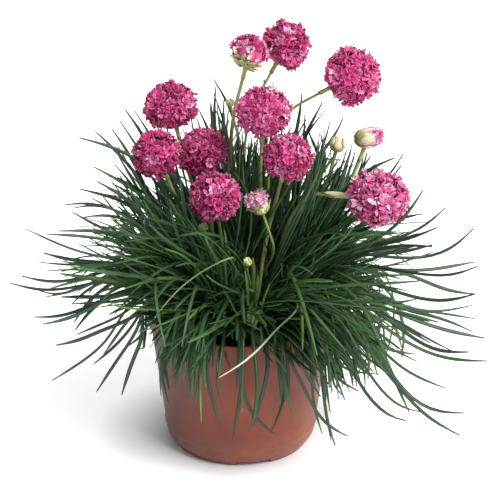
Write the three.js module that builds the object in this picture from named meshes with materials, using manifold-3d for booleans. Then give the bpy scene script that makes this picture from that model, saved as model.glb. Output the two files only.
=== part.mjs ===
import * as THREE from 'three';
import { mergeVertices } from 'three/addons/utils/BufferGeometryUtils.js';
import Module from 'manifold-3d';

const wasm = await Module();
wasm.setup();

// Potted sea thrift, in millimetres, +Z up.
// The pot's axis is the Z axis, its feet stand on z = 0 and its front faces -Y.

const CLEARANCE = 0.3;

// Plastic pot
const RIM_RADIUS = 55;
const POT_HEIGHT = 85;
const RIM_BAND_HEIGHT = 8;
const RIM_THICKNESS = 2;
const SHOULDER_RADIUS = 53;
const BASE_RADIUS = 44.4;
const BASE_CORNER = 10;
const WALL = 1.6;
const RIM_EDGE = 0.7;
const FOOT_HEIGHT = 3;
const FOOT_INNER_RADIUS = 30;
const FOOT_OUTER_RADIUS = 39.8;
const FOOT_SLOPE = 1.5;
const FOOT_COUNT = 4;
const FOOT_GAP_ANGLE = THREE.MathUtils.degToRad(29.5);
const FIRST_GAP_ANGLE = THREE.MathUtils.degToRad(-90 + 10.75);
const DRAIN_COUNT = 6;
const DRAIN_RADIUS = 3.5;
const DRAIN_CIRCLE = 19;
const POT_SIDES = 32;
const BAND_BOTTOM = POT_HEIGHT - RIM_BAND_HEIGHT;
const CORNER_CENTRE = BASE_RADIUS - BASE_CORNER;
const INNER_FLOOR = FOOT_HEIGHT + WALL;
const INNER_CORNER = BASE_CORNER - WALL;
const INNER_SHOULDER_RADIUS = SHOULDER_RADIUS - WALL;
const INNER_SHOULDER_HEIGHT = BAND_BOTTOM - 1.5;

// Potting soil and woody rootstock
const SOIL_EDGE_HEIGHT = 77;
const SOIL_MIDDLE_HEIGHT = 75.7;
const CROWN_BOTTOM = SOIL_MIDDLE_HEIGHT + CLEARANCE;
const CROWN_TOP = 82;
const CROWN_RADIUS = 23;
const LOBE_RADIUS = 36;
const LOBE_POINTS = 8;
const LOBE_ROUNDNESS = 0.6;
const TAPROOT_TIP = 24;
const TAPROOT_WAIST = 50;
const TAPROOT_RADII = { tip: 1.3, waist: 3.4, neck: 6.5, collar: 7.5 };
const SIDE_ROOTS = 5;
const SIDE_ROOT_RADII = { thick: 2, thin: 0.7 };

// Leaf rosettes
const OUTER_TUFTS = 10;
const OUTER_TUFT_CIRCLE = 30;
const INNER_TUFTS = 4;
const INNER_TUFT_CIRCLE = 10;
const SHOOT_RADIUS = 5;
const SHOOT_TOP_RADIUS = 4;
const SHOOT_HEIGHT = 9;
const LEAVES_PER_TUFT = 13;
const LEAF_WIDTH = 2.4;
const LEAF_KEEL = 0.9;
const LEAF_STEPS = 6;
const FOOT_STEPS = 3;
const LEAF_TRIES = 60;
const SIDE_REACH = 139;
const DEPTH_REACH = 128;

// Where leaves end: the outer rosettes' from hanging to steep, then the inner rosettes'
const LOWEST_TIP = 30;
const TIP_RISE = 140;
const SHORT_REACH = 86;
const EXTRA_REACH = 50;
const FRONT_TUCK = 0.27;
const INNER_REACH = 98;
const INNER_REACH_DROP = 62;
const INNER_LOWEST_TIP = 158;
const INNER_TIP_RISE = 46;

// Room that every leaf keeps
const ROOM_TO_FLOOR = 22;
const ROOM_TO_HEADS = 4;
const ROOM_TO_WALL = 3;
const ROOM_OVER_RIM = 2.5;

// Flower stems, standing in a ring on the crown
const STEM_RADIUS = 1.1;
const STEM_CIRCLE = 18.5;
const STEM_STEPS = 7;
const STEM_SIDES = 5;
const SHEATH_LENGTH = 7;
const STRAIGHT_END = 17;

// Each flower: its middle, its width, and the way that its axis points, from the stem to the top.
const HEADS = [
  { middle: [-40, 24, 199], width: 31, axis: [-0.25, 0.1, 1] },
  { middle: [-47, -14, 185], width: 28, axis: [-0.35, -0.25, 1] },
  { middle: [-22, 8, 177], width: 28, axis: [-0.15, 0.05, 1] },
  { middle: [-14, -36, 168], width: 28, axis: [-0.1, -0.45, 1] },
  { middle: [13, -6, 207], width: 32, axis: [0.05, -0.15, 1] },
  { middle: [26, -32, 190], width: 27, axis: [0.2, -0.35, 1] },
  { middle: [26, 32, 233], width: 28, axis: [0.55, 0.1, 1] },
  { middle: [62, 5, 224], width: 34, axis: [1, -0.1, 0.6] },
  { middle: [76, -35, 167], width: 36, axis: [1, -0.45, 0.1] },
  { middle: [5, 10, 236], width: 22, axis: [0.25, 0, 1] },
  { middle: [73, 14, 184], width: 19, axis: [0.35, 0.05, 1] },
];
const BUDS = [
  { middle: [56, 22, 177], width: 10, axis: [0.25, 0.1, 1] },
  { middle: [11, -34, 162], width: 11, axis: [0.1, -0.25, 1] },
  { middle: [4, -52, 136], width: 5.5, axis: [0, -0.35, 1] },
  { middle: [-21, -22, 144], width: 5.5, axis: [-0.2, -0.2, 1] },
  { middle: [-6, 26, 201], width: 5, axis: [-0.2, 0, 1] },
];

const COLORS = {
  pot: '#a5553f',
  soil: '#2b211b',
  wood: '#5a4432',
  stem: '#8b9a5b',
  bract: '#b9a77c',
  petal: '#c23a80',
  bud: '#b8b07a',
  leaf: '#3d5a34',
};

// A head's proportions, as shares of its radius
const HEAD_UNDERSIDE = 0.66;
const HEAD_CROWN = 0.9;
const HEAD_SIDES = 10;
const CUP_RADIUS = 0.5;
const CUP_THICKNESS = 0.17;
const BUD_UNDERSIDE = 1.1;
const BUD_CROWN = 1.35;

const UP = new THREE.Vector3(0, 0, 1);

// Steps of this share of a turn never line up, as leaves round a shoot don't.
const GOLDEN_SHARE = 0.618;

function seededRandom(seed) {
  let state = seed;
  return () => {
    state = (state + 0x6d2b79f5) | 0;
    let mixed = Math.imul(state ^ (state >>> 15), 1 | state);
    mixed = (mixed + Math.imul(mixed ^ (mixed >>> 7), 61 | mixed)) ^ mixed;
    return ((mixed ^ (mixed >>> 14)) >>> 0) / 4294967296;
  };
}

const random = seededRandom(11);

function spread(middle, range) {
  return middle + range * (2 * random() - 1);
}

function point(radius, angle, z) {
  return new THREE.Vector3(radius * Math.cos(angle), radius * Math.sin(angle), z);
}

// Geometry with only shared positions left, which is what closes its surface.
function closed(geometry) {
  geometry.deleteAttribute('normal');
  geometry.deleteAttribute('uv');
  return mergeVertices(geometry, 1e-4);
}

function solid(geometry) {
  const mesh = closed(geometry);
  return new wasm.Manifold(new wasm.Mesh({
    numProp: 3,
    vertProperties: Float32Array.from(mesh.attributes.position.array),
    triVerts: Uint32Array.from(mesh.index.array),
  }));
}

function geometryOf(manifold) {
  const mesh = manifold.getMesh();
  const geometry = new THREE.BufferGeometry();
  geometry.setAttribute('position', new THREE.BufferAttribute(mesh.vertProperties, 3));
  geometry.setIndex(new THREE.BufferAttribute(mesh.triVerts, 1));
  return geometry;
}

// A profile of [radius, height] pairs turned about the Z axis.
function turned(profile, sides) {
  const outline = profile.map(([radius, height]) => new THREE.Vector2(radius, height));
  return new THREE.LatheGeometry(outline, sides).rotateX(Math.PI / 2);
}

// Points of a quarter circle from straight down to straight out, about (radius, height).
function corner(radius, height, size, steps) {
  return Array.from({ length: steps + 1 }, (_, i) => {
    const angle = -Math.PI / 2 + (i / steps) * Math.PI / 2;
    return [radius + size * Math.cos(angle), height + size * Math.sin(angle)];
  });
}

// A round bar from one point to another, with a radius at each end.
function bar(from, to, fromRadius, toRadius, sides) {
  const along = to.clone().sub(from);
  const geometry = new THREE.CylinderGeometry(toRadius, fromRadius, along.length(), sides);
  const direction = along.clone().normalize();
  geometry.applyQuaternion(new THREE.Quaternion().setFromUnitVectors(new THREE.Vector3(0, 1, 0), direction));
  return geometry.translate(...from.clone().addScaledVector(along, 0.5).toArray());
}

const group = new THREE.Group();

function addPiece(name, geometry, color, roughness) {
  const material = new THREE.MeshStandardMaterial({ color, roughness, metalness: 0 });
  const mesh = new THREE.Mesh(geometry, material);
  mesh.name = name;
  group.add(mesh);
  return mesh;
}

// Outer radius of the pot's wall at a height between the base corner and the rim band.
function wallRadius(z) {
  const share = (z - BASE_CORNER) / (BAND_BOTTOM - BASE_CORNER);
  return BASE_RADIUS + (SHOULDER_RADIUS - BASE_RADIUS) * share;
}

function makePot() {
  const shell = solid(turned([
    [0, FOOT_HEIGHT],
    [FOOT_INNER_RADIUS - FOOT_SLOPE, FOOT_HEIGHT],
    [FOOT_INNER_RADIUS, 0],
    [FOOT_OUTER_RADIUS, 0],
    ...corner(CORNER_CENTRE, BASE_CORNER, BASE_CORNER, 4).slice(2),
    [SHOULDER_RADIUS, BAND_BOTTOM],
    [RIM_RADIUS, BAND_BOTTOM + RIM_EDGE],
    [RIM_RADIUS, POT_HEIGHT - RIM_EDGE],
    [RIM_RADIUS - RIM_EDGE, POT_HEIGHT],
    [RIM_RADIUS - RIM_THICKNESS, POT_HEIGHT],
    [RIM_RADIUS - RIM_THICKNESS, BAND_BOTTOM + RIM_EDGE],
    [INNER_SHOULDER_RADIUS, INNER_SHOULDER_HEIGHT],
    ...corner(CORNER_CENTRE, INNER_FLOOR + INNER_CORNER, INNER_CORNER, 3).reverse(),
    [0, INNER_FLOOR],
  ], POT_SIDES));

  let pot = shell;
  for (let i = 0; i < FOOT_COUNT; i += 1) {
    pot = pot.subtract(footGap(FIRST_GAP_ANGLE + (i * 2 * Math.PI) / FOOT_COUNT));
  }
  for (let i = 0; i < DRAIN_COUNT; i += 1) {
    const angle = (i * 2 * Math.PI) / DRAIN_COUNT;
    const from = point(DRAIN_CIRCLE, angle, FOOT_HEIGHT - 1);
    const to = point(DRAIN_CIRCLE, angle, INNER_FLOOR + 1);
    pot = pot.subtract(solid(bar(from, to, DRAIN_RADIUS, DRAIN_RADIUS, 10)));
  }
  addPiece('pot', geometryOf(pot), COLORS.pot, 0.45);
}

// The gap between two feet, a ring sector under the pot's raised base.
function footGap(angle) {
  const past = 4;
  const from = angle - FOOT_GAP_ANGLE / 2;
  const to = angle + FOOT_GAP_ANGLE / 2;
  const outline = new THREE.Shape();
  outline.absarc(0, 0, BASE_RADIUS + past, from, to, false);
  outline.absarc(0, 0, FOOT_INNER_RADIUS - past, to, from, true);
  outline.closePath();
  const settings = { depth: FOOT_HEIGHT + 1, bevelEnabled: false, curveSegments: 4 };
  return solid(new THREE.ExtrudeGeometry(outline, settings).translate(0, 0, -1));
}

function tuftAngle(i) {
  return (i * 2 * Math.PI) / OUTER_TUFTS;
}

function innerTuftAngle(i) {
  return Math.PI / 4 + (i * 2 * Math.PI) / INNER_TUFTS;
}

// The taproot and its side roots, all grown by a margin.
function rootSolid(margin) {
  const collarTop = CROWN_BOTTOM + 2;
  let roots = solid(turned([
    [0, TAPROOT_TIP - margin],
    [TAPROOT_RADII.tip + margin, TAPROOT_TIP],
    [TAPROOT_RADII.waist + margin, TAPROOT_WAIST],
    [TAPROOT_RADII.neck + margin, SOIL_MIDDLE_HEIGHT - 4],
    [TAPROOT_RADII.collar + margin, collarTop],
    [0, collarTop],
  ], 12));
  for (let i = 0; i < SIDE_ROOTS; i += 1) {
    const angle = ((i + 0.35) * 2 * Math.PI) / SIDE_ROOTS;
    const from = point(2, angle, 66 - 4 * i);
    const to = point(30 - 2 * i, angle + 0.3, 46 - 4 * i);
    const sideRoot = bar(from, to, SIDE_ROOT_RADII.thick + margin, SIDE_ROOT_RADII.thin + margin, 5);
    roots = roots.add(solid(sideRoot));
  }
  return roots;
}

// The woody crown on the soil: a low star with a rounded lobe under each outer rosette.
function crownSolid() {
  const count = OUTER_TUFTS * LOBE_POINTS;
  const outline = new THREE.Shape(Array.from({ length: count }, (_, i) => {
    const angle = (i * 2 * Math.PI) / count;
    const lobe = Math.max(0, Math.cos(angle * OUTER_TUFTS)) ** LOBE_ROUNDNESS;
    const radius = CROWN_RADIUS + (LOBE_RADIUS - CROWN_RADIUS) * lobe;
    return new THREE.Vector2(radius * Math.cos(angle), radius * Math.sin(angle));
  }));
  const settings = { depth: CROWN_TOP - CROWN_BOTTOM, bevelEnabled: false };
  return solid(new THREE.ExtrudeGeometry(outline, settings).translate(0, 0, CROWN_BOTTOM));
}

function makeSoilAndRootstock() {
  const edge = INNER_SHOULDER_RADIUS - 1.5 * CLEARANCE;
  const fill = solid(turned([
    [0, INNER_FLOOR + CLEARANCE],
    ...corner(CORNER_CENTRE, INNER_FLOOR + INNER_CORNER, INNER_CORNER - CLEARANCE, 3),
    [edge, INNER_SHOULDER_HEIGHT],
    [edge, SOIL_EDGE_HEIGHT],
    [LOBE_RADIUS + 2, SOIL_MIDDLE_HEIGHT],
    [0, SOIL_MIDDLE_HEIGHT],
  ], POT_SIDES));
  addPiece('soil', geometryOf(fill.subtract(rootSolid(CLEARANCE))), COLORS.soil, 1);
  addPiece('rootstock', geometryOf(rootSolid(0).add(crownSolid())), COLORS.wood, 0.9);
}

// Obstacles that a leaf grows clear of: thin lines with a radius, and balls.
const lines = [];
const balls = [];

function addPath(points, radius, owner) {
  for (let i = 1; i < points.length; i += 1) {
    lines.push({ line: new THREE.Line3(points[i - 1], points[i]), radius, owner, step: i });
  }
}

// The stem rises from its place on the crown, leans over, and ends straight along the flower's axis.
function stemPath(base, top, axis) {
  const rise = top.z - base.z;
  const straight = top.clone().addScaledVector(axis, -STRAIGHT_END);
  const path = new THREE.CurvePath();
  path.add(new THREE.CubicBezierCurve3(
    base,
    base.clone().addScaledVector(UP, 0.4 * rise),
    straight.clone().addScaledVector(axis, -0.25 * rise),
    straight,
  ));
  path.add(new THREE.LineCurve3(straight, top));
  return path;
}

function makeStem(name, base, top, axis) {
  const path = stemPath(base, top, axis);
  const section = new THREE.Shape(Array.from({ length: STEM_SIDES }, (_, i) => {
    const angle = (i * 2 * Math.PI) / STEM_SIDES;
    return new THREE.Vector2(STEM_RADIUS * Math.cos(angle), STEM_RADIUS * Math.sin(angle));
  }));
  const settings = { steps: STEM_STEPS, bevelEnabled: false, extrudePath: path };
  addPiece(name, closed(new THREE.ExtrudeGeometry(section, settings)), COLORS.stem, 0.6);
  addPath(path.getSpacedPoints(STEM_STEPS), STEM_RADIUS, name);
}

// A round head of many small flowers, with a bumpy outside and a flat underside.
function headGeometry(radius) {
  const shares = [
    [0, -HEAD_UNDERSIDE],
    [0.5, -HEAD_UNDERSIDE],
    [0.84, -0.46],
    [0.99, -0.05],
    [0.93, 0.35],
    [0.7, 0.67],
    [0.36, 0.84],
    [0, HEAD_CROWN],
  ];
  const geometry = closed(turned(shares.map(([r, z]) => [r * radius, z * radius]), HEAD_SIDES));
  const position = geometry.attributes.position;
  const bump = 0.035;
  for (let i = 0; i < position.count; i += 1) {
    const outside = new THREE.Vector3().fromBufferAttribute(position, i);
    if (outside.z > -0.5 * radius) {
      outside.multiplyScalar(1 + bump * Math.sin(i * 2.4));
    }
    position.setXYZ(i, outside.x, outside.y, outside.z);
  }
  return geometry;
}

// The papery cup of bracts under a head, with its sheath down the stem.
function cupGeometry(radius) {
  const top = -HEAD_UNDERSIDE * radius - CLEARANCE;
  const bottom = top - CUP_THICKNESS * radius;
  const sheathInside = STEM_RADIUS + 0.5;
  const sheathOutside = sheathInside + 0.6;
  return closed(turned([
    [0, bottom],
    [sheathInside, bottom],
    [sheathInside, bottom - SHEATH_LENGTH],
    [sheathOutside, bottom - SHEATH_LENGTH],
    [sheathOutside + 0.3, bottom - 0.4],
    [CUP_RADIUS * radius, top - 0.8],
    [CUP_RADIUS * radius + 0.6, top],
    [0, top],
  ], 8));
}

// A closed bud: bracts wrapped round a point.
function budGeometry(radius) {
  const shares = [
    [0, -BUD_UNDERSIDE],
    [0.45, -BUD_UNDERSIDE],
    [0.92, -0.4],
    [1, 0.1],
    [0.7, 0.8],
    [0, BUD_CROWN],
  ];
  return closed(turned(shares.map(([r, z]) => [r * radius, z * radius]), 8));
}

function seat(mesh, middle, axis) {
  mesh.position.copy(middle);
  mesh.quaternion.setFromUnitVectors(UP, axis);
}

// Every flower gets the place on the crown that faces it, so that no two stems cross.
function makeFlowers() {
  const flowers = [...HEADS, ...BUDS].map((flower, i) => {
    return { ...flower, label: String(i + 1).padStart(2, '0'), open: i < HEADS.length };
  });
  const facing = ({ middle }) => Math.atan2(middle[1], middle[0]);
  const byAngle = [...flowers].sort((one, other) => facing(one) - facing(other));
  byAngle.forEach((flower, place) => {
    const angle = -Math.PI + ((place + 0.5) * 2 * Math.PI) / flowers.length;
    const base = point(STEM_CIRCLE, angle, CROWN_TOP + CLEARANCE);
    const radius = flower.width / 2;
    const middle = new THREE.Vector3(...flower.middle);
    const axis = new THREE.Vector3(...flower.axis).normalize();
    const cupDepth = (HEAD_UNDERSIDE + CUP_THICKNESS) * radius + CLEARANCE;
    const underside = flower.open ? cupDepth : BUD_UNDERSIDE * radius;
    const top = middle.clone().addScaledVector(axis, -underside - CLEARANCE);
    makeStem(`flower_stem_${flower.label}`, base, top, axis);
    if (flower.open) {
      seat(addPiece(`bract_cup_${flower.label}`, cupGeometry(radius), COLORS.bract, 0.7), middle, axis);
      seat(addPiece(`flower_head_${flower.label}`, headGeometry(radius), COLORS.petal, 0.75), middle, axis);
    } else {
      seat(addPiece(`flower_bud_${flower.label}`, budGeometry(radius), COLORS.bud, 0.7), middle, axis);
    }
    balls.push({ middle, radius: radius * 1.15 });
  });
}

// A leaf blade: a three-sided cone, flat above and keeled below, bent along its curve.
function leafGeometry(curve) {
  const geometry = new THREE.CylinderGeometry(0, 1, 1, 3, LEAF_STEPS);
  const position = geometry.attributes.position;
  const start = curve.getPoint(0);
  const end = curve.getPoint(1);
  const side = new THREE.Vector3(end.y - start.y, start.x - end.x, 0).normalize();
  for (let i = 0; i < position.count; i += 1) {
    const share = position.getY(i) + 0.5;
    const ring = Math.min(1, 1 - share) || 1;
    const across = position.getX(i) / ring;
    const away = position.getZ(i) / ring;
    const along = curve.getTangent(Math.min(share, 0.999));
    const above = side.clone().cross(along).normalize();
    const width = 0.5 * LEAF_WIDTH * (1 - share ** 3) * Math.min(1, 0.75 + share);
    const place = curve.getPoint(share);
    const atTip = share > 0.9999;
    place.addScaledVector(side, atTip ? 0 : (-across * width) / 0.866);
    place.addScaledVector(above, atTip ? 0 : -away * LEAF_KEEL * 0.6 * (1 - 0.6 * share));
    position.setXYZ(i, place.x, place.y, place.z);
  }
  return geometry;
}

// A leaf's curve in the upright plane through its shoot and its tip. Arch lifts its middle,
// curl moves the outer half down so that the tip turns up again.
function leafCurve(base, tip, arch, curl, shoulder) {
  const inner = base.clone().lerp(tip, 0.28);
  const outer = base.clone().lerp(tip, shoulder);
  outer.z = base.z + 0.72 * (tip.z - base.z);
  inner.addScaledVector(UP, arch);
  outer.addScaledVector(UP, arch * curl);
  return new THREE.CubicBezierCurve3(base, inner, outer, tip);
}

// Whether a leaf's centre line stays off the pot, the soil, the other rosettes, the stems and the heads.
function isClear(points, owner) {
  const half = LEAF_WIDTH / 2;
  for (const place of points.slice(1)) {
    const radius = Math.hypot(place.x, place.y);
    const rimInside = RIM_RADIUS - RIM_THICKNESS;
    const overRim = radius > rimInside - ROOM_TO_WALL && radius < RIM_RADIUS + ROOM_OVER_RIM;
    if (overRim && place.z > BAND_BOTTOM - 7 && place.z < POT_HEIGHT + ROOM_OVER_RIM) return false;
    if (radius < rimInside && place.z < CROWN_TOP + 3) return false;
    if (place.z < POT_HEIGHT && radius < wallRadius(place.z) + ROOM_TO_WALL) return false;
    if (place.z < ROOM_TO_FLOOR) return false;
    if (balls.some((ball) => ball.middle.distanceTo(place) < ball.radius + ROOM_TO_HEADS)) return false;
  }
  for (let i = 1; i < points.length; i += 1) {
    const piece = new THREE.Line3(points[i - 1], points[i]);
    const blocked = lines.some(({ line, radius, owner: other, step }) => {
      const joined = other === owner && (step <= FOOT_STEPS || i <= FOOT_STEPS);
      const room = radius + half + CLEARANCE;
      return !joined && piece.distanceSqToLine3(line) < room * room;
    });
    if (blocked) return false;
  }
  return true;
}

// Tries a leaf until one stands clear, each time with a little more freedom.
function growLeaf(shoot, draw, owner) {
  for (let attempt = 0; attempt < LEAF_TRIES; attempt += 1) {
    const { foot, tip, arch, curl, shoulder } = draw(attempt / LEAF_TRIES);
    const curve = leafCurve(shoot.clone().add(foot), tip, arch, curl, shoulder);
    const points = curve.getPoints(LEAF_STEPS * 2);
    if (isClear(points, owner)) {
      addPath(points, LEAF_WIDTH / 2, owner);
      return solid(leafGeometry(curve));
    }
  }
  return null;
}

// How far out and how high a leaf ends, from hanging (level 0) to steep (level 1).
function outerTip(angle, level) {
  const toFront = Math.max(0, -Math.sin(angle));
  const reach = SHORT_REACH + EXTRA_REACH * Math.sin(Math.PI * (0.05 + 0.88 * level));
  const tuckedIn = 1 - FRONT_TUCK * toFront ** 4 * Math.max(0, 1 - 3 * level);
  const tip = point(reach * tuckedIn, angle, LOWEST_TIP + TIP_RISE * level ** 1.15);
  tip.x = THREE.MathUtils.clamp(tip.x, 2 - SIDE_REACH, SIDE_REACH - 2);
  tip.y = THREE.MathUtils.clamp(tip.y, 2 - DEPTH_REACH, DEPTH_REACH - 2);
  return tip;
}

// Where a leaf leaves its shoot: low leaves on the outer side, steep ones further in and higher.
function leafFoot(angle, turn, level) {
  const outward = 2.6 - 5.2 * level;
  const foot = point(outward, angle, CROWN_TOP + 3 + 4.5 * level);
  return foot.add(point(turn * 6, angle + Math.PI / 2, 0));
}

function outerLeaf(tuft, k, freedom) {
  const level = THREE.MathUtils.clamp(spread(k / (LEAVES_PER_TUFT - 1), 0.03 + 0.1 * freedom), 0, 1);
  const turn = ((k * GOLDEN_SHARE + 0.31 * tuft) % 1) - 0.5;
  const sector = (2 * Math.PI) / OUTER_TUFTS;
  const angle = tuftAngle(tuft) + spread(turn * 0.95, 0.05 + 0.2 * freedom) * sector;
  const tip = outerTip(angle, level);
  tip.z += spread(0, 4 + 6 * freedom);
  return {
    foot: leafFoot(tuftAngle(tuft), turn, level),
    tip,
    arch: spread(58 - 38 * level, 7 + 8 * freedom),
    curl: spread(0.75 - 0.3 * Math.sin(Math.PI * level), 0.15),
    shoulder: 0.93 - 0.23 * level,
  };
}

function innerLeaf(tuft, k, freedom) {
  const level = k / (LEAVES_PER_TUFT - 1);
  const turn = ((k * GOLDEN_SHARE) % 1) - 0.5;
  const middle = innerTuftAngle(tuft);
  const angle = middle + spread(turn * 1.5, 0.15 + 0.3 * freedom);
  const reach = spread(INNER_REACH - INNER_REACH_DROP * level, 6 + 8 * freedom);
  return {
    foot: leafFoot(middle, turn, level),
    tip: point(reach, angle, spread(INNER_LOWEST_TIP + INNER_TIP_RISE * level, 8 + 6 * freedom)),
    arch: spread(20 - 12 * level, 6),
    curl: spread(0.7, 0.2),
    shoulder: 0.7,
  };
}

// The four leaves that set the plant's full width and depth.
const FARTHEST = [
  { tuft: 0, tip: new THREE.Vector3(SIDE_REACH, -14, 70) },
  { tuft: 5, tip: new THREE.Vector3(-SIDE_REACH, 12, 98) },
  { tuft: 3, tip: new THREE.Vector3(24, DEPTH_REACH, 96) },
  { tuft: 7, tip: new THREE.Vector3(-40, -DEPTH_REACH, 74) },
];

function farthestLeaf(tip, freedom) {
  const foot = leafFoot(Math.atan2(tip.y, tip.x), 0, 0.3);
  return { foot, tip, arch: spread(36, 12 * freedom), curl: spread(0.4, 0.2 * freedom), shoulder: 0.75 };
}

function makeTufts() {
  const shoots = [];
  for (let i = 0; i < OUTER_TUFTS; i += 1) {
    const place = point(OUTER_TUFT_CIRCLE, tuftAngle(i), 0);
    shoots.push({ place, draw: (k, freedom) => outerLeaf(i, k, freedom) });
  }
  for (let i = 0; i < INNER_TUFTS; i += 1) {
    const place = point(INNER_TUFT_CIRCLE, innerTuftAngle(i), 0);
    shoots.push({ place, draw: (k, freedom) => innerLeaf(i, k, freedom) });
  }

  const tufts = shoots.map(({ place, draw }, i) => {
    const name = `leaf_tuft_${String(i + 1).padStart(2, '0')}`;
    const low = place.clone().setZ(CROWN_TOP + CLEARANCE);
    const high = place.clone().setZ(CROWN_TOP + CLEARANCE + SHOOT_HEIGHT);
    addPath([low, high], SHOOT_RADIUS - LEAF_WIDTH / 2, name);
    return { name, place, draw, body: solid(bar(low, high, SHOOT_RADIUS, SHOOT_TOP_RADIUS, 8)) };
  });

  const keep = (tuft, leaf) => {
    if (leaf) tuft.body = tuft.body.add(leaf);
  };
  for (const { tuft, tip } of FARTHEST) {
    const { place, name } = tufts[tuft];
    keep(tufts[tuft], growLeaf(place, (freedom) => farthestLeaf(tip, freedom), name));
  }
  for (let k = LEAVES_PER_TUFT - 1; k >= 0; k -= 1) {
    for (const tuft of [...tufts].reverse()) {
      keep(tuft, growLeaf(tuft.place, (freedom) => tuft.draw(k, freedom), tuft.name));
    }
  }
  for (const { name, body } of tufts) {
    addPiece(name, geometryOf(body), COLORS.leaf, 0.6);
  }
}

makePot();
makeSoilAndRootstock();
makeFlowers();
makeTufts();

export default group;
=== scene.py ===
"""Potted sea thrift: a tuft of narrow leaves and pink flower heads on bare stems, in a round plastic pot.

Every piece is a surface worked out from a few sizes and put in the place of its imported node. Lengths are in
metres; MM turns millimetres into them. The pot's axis is Z and its front faces -Y.
"""

import math

import bmesh
import bpy
import numpy as np
from bpy.props import FloatProperty, FloatVectorProperty, IntProperty, PointerProperty
from bpy.types import Operator, Panel, PropertyGroup
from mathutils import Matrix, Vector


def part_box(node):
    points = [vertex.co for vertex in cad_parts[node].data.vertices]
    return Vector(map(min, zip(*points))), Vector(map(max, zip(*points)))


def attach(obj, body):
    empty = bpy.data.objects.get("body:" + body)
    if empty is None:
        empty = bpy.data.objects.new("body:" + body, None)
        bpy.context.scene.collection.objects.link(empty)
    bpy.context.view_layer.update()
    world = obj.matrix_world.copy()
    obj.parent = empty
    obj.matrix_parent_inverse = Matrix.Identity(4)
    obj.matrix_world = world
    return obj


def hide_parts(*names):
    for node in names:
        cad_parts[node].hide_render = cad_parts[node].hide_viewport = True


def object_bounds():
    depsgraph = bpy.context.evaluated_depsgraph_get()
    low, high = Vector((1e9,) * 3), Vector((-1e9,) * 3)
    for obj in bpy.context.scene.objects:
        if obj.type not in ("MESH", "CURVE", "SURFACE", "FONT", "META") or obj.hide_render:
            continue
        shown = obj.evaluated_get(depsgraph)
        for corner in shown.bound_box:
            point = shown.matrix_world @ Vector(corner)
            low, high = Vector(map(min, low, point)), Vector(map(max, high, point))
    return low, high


bl_info = {
    "name": "Potted Sea Thrift",
    "version": (1, 0, 0),
    "blender": (4, 5, 0),
    "location": "View3D > Sidebar > Sea Thrift",
    "description": "Builds a flowering sea thrift in its pot, piece by piece",
    "category": "Add Mesh",
}

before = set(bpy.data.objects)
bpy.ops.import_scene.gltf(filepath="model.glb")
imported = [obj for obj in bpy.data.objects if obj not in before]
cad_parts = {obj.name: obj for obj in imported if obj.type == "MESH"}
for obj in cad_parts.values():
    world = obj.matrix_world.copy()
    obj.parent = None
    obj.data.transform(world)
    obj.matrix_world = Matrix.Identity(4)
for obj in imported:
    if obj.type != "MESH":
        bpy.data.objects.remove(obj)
CAD_BOX = [list(corner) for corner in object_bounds()]

MM = 0.001
TURN = 2 * math.pi
GOLDEN_TURN = TURN * 0.381966
UP = np.array([0.0, 0.0, 1.0])
NORTH = np.array([0.0, 1.0, 0.0])

# Pot, with its outer sizes from the frame
POT_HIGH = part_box("pot")[1]
RIM_RADIUS = POT_HIGH[0]
POT_HEIGHT = POT_HIGH[2]
RIM_BAND = 8 * MM
RIM_THICKNESS = 2 * MM
SHOULDER_RADIUS = 53 * MM
BASE_RADIUS = 44.4 * MM
BASE_CORNER = 10 * MM
WALL = 1.6 * MM
FOOT_HEIGHT = 3 * MM
FOOT_INNER = 30 * MM
FOOT_OUTER = 39.8 * MM
FOOT_SLOPE = 1.5 * MM
FOOT_COUNT = 4
FOOT_GAP = math.radians(29.5)
FIRST_GAP = math.radians(-79.25)
DRAIN_COUNT = 6
DRAIN_RADIUS = 3.5 * MM
DRAIN_CIRCLE = 19 * MM
FLOOR_RADIUS = 28 * MM
BAND_BOTTOM = POT_HEIGHT - RIM_BAND
CORNER_CENTRE = BASE_RADIUS - BASE_CORNER
INNER_FLOOR = FOOT_HEIGHT + WALL
SHARP_ANGLE = math.radians(35)

# Soil and rootstock
SOIL_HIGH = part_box("soil")[1]
SOIL_RADIUS = SOIL_HIGH[0]
SOIL_EDGE = SOIL_HIGH[2]
SOIL_MIDDLE = 75.7 * MM
SOIL_LEVEL = 38 * MM
SOIL_ROOM = 0.3 * MM
CROWN_MIDDLE = 79.2 * MM
CROWN_TOP = 82 * MM
TAPROOT_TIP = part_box("rootstock")[0][2]
SIDE_ROOTS = 5

# Leaf rosettes
OUTER_TUFTS = 10
OUTER_CIRCLE = 30 * MM
INNER_TUFTS = 4
INNER_CIRCLE = 10 * MM
SHOOT_BASE = 82.3 * MM
SHOOT_HEIGHT = 9 * MM
SHOOT_RADIUS = 5 * MM
LEAF_RINGS = 13
TRACED_RINGS = 22
ROOM_ABOVE_RIM = 2.4 * MM
ROOM_BESIDE_RIM = 2.6 * MM
ROOM_TO_HEADS = 3 * MM
LOWEST_LEAF = 2.5 * MM
LEAF_POINT = 1.2 * MM
HIGH_TIP = 120 * MM
CANDIDATES = 40
DEAD_SHARE = 0.0015
YELLOW_SHARE = 0.012
CLEAR_STEMS = {"09": -9, "13": 9}
LANE_HALF_WIDTH = 5
HIDDEN_RINGS = 10
# Places across the pot where its rim and the soil behind it show between the leaves
BARE_RIM = np.array([-15, -11, -7, -3, 1, 5]) * MM

# Stems
STEM_CIRCLE = 18.5 * MM
STRAIGHT_END = 17 * MM
SHEATH_LENGTH = 7 * MM
LONG_SHEATH_LENGTH = 17 * MM
LONG_SHEATH = "09"
SMALL_BUD = 4 * MM

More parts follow.
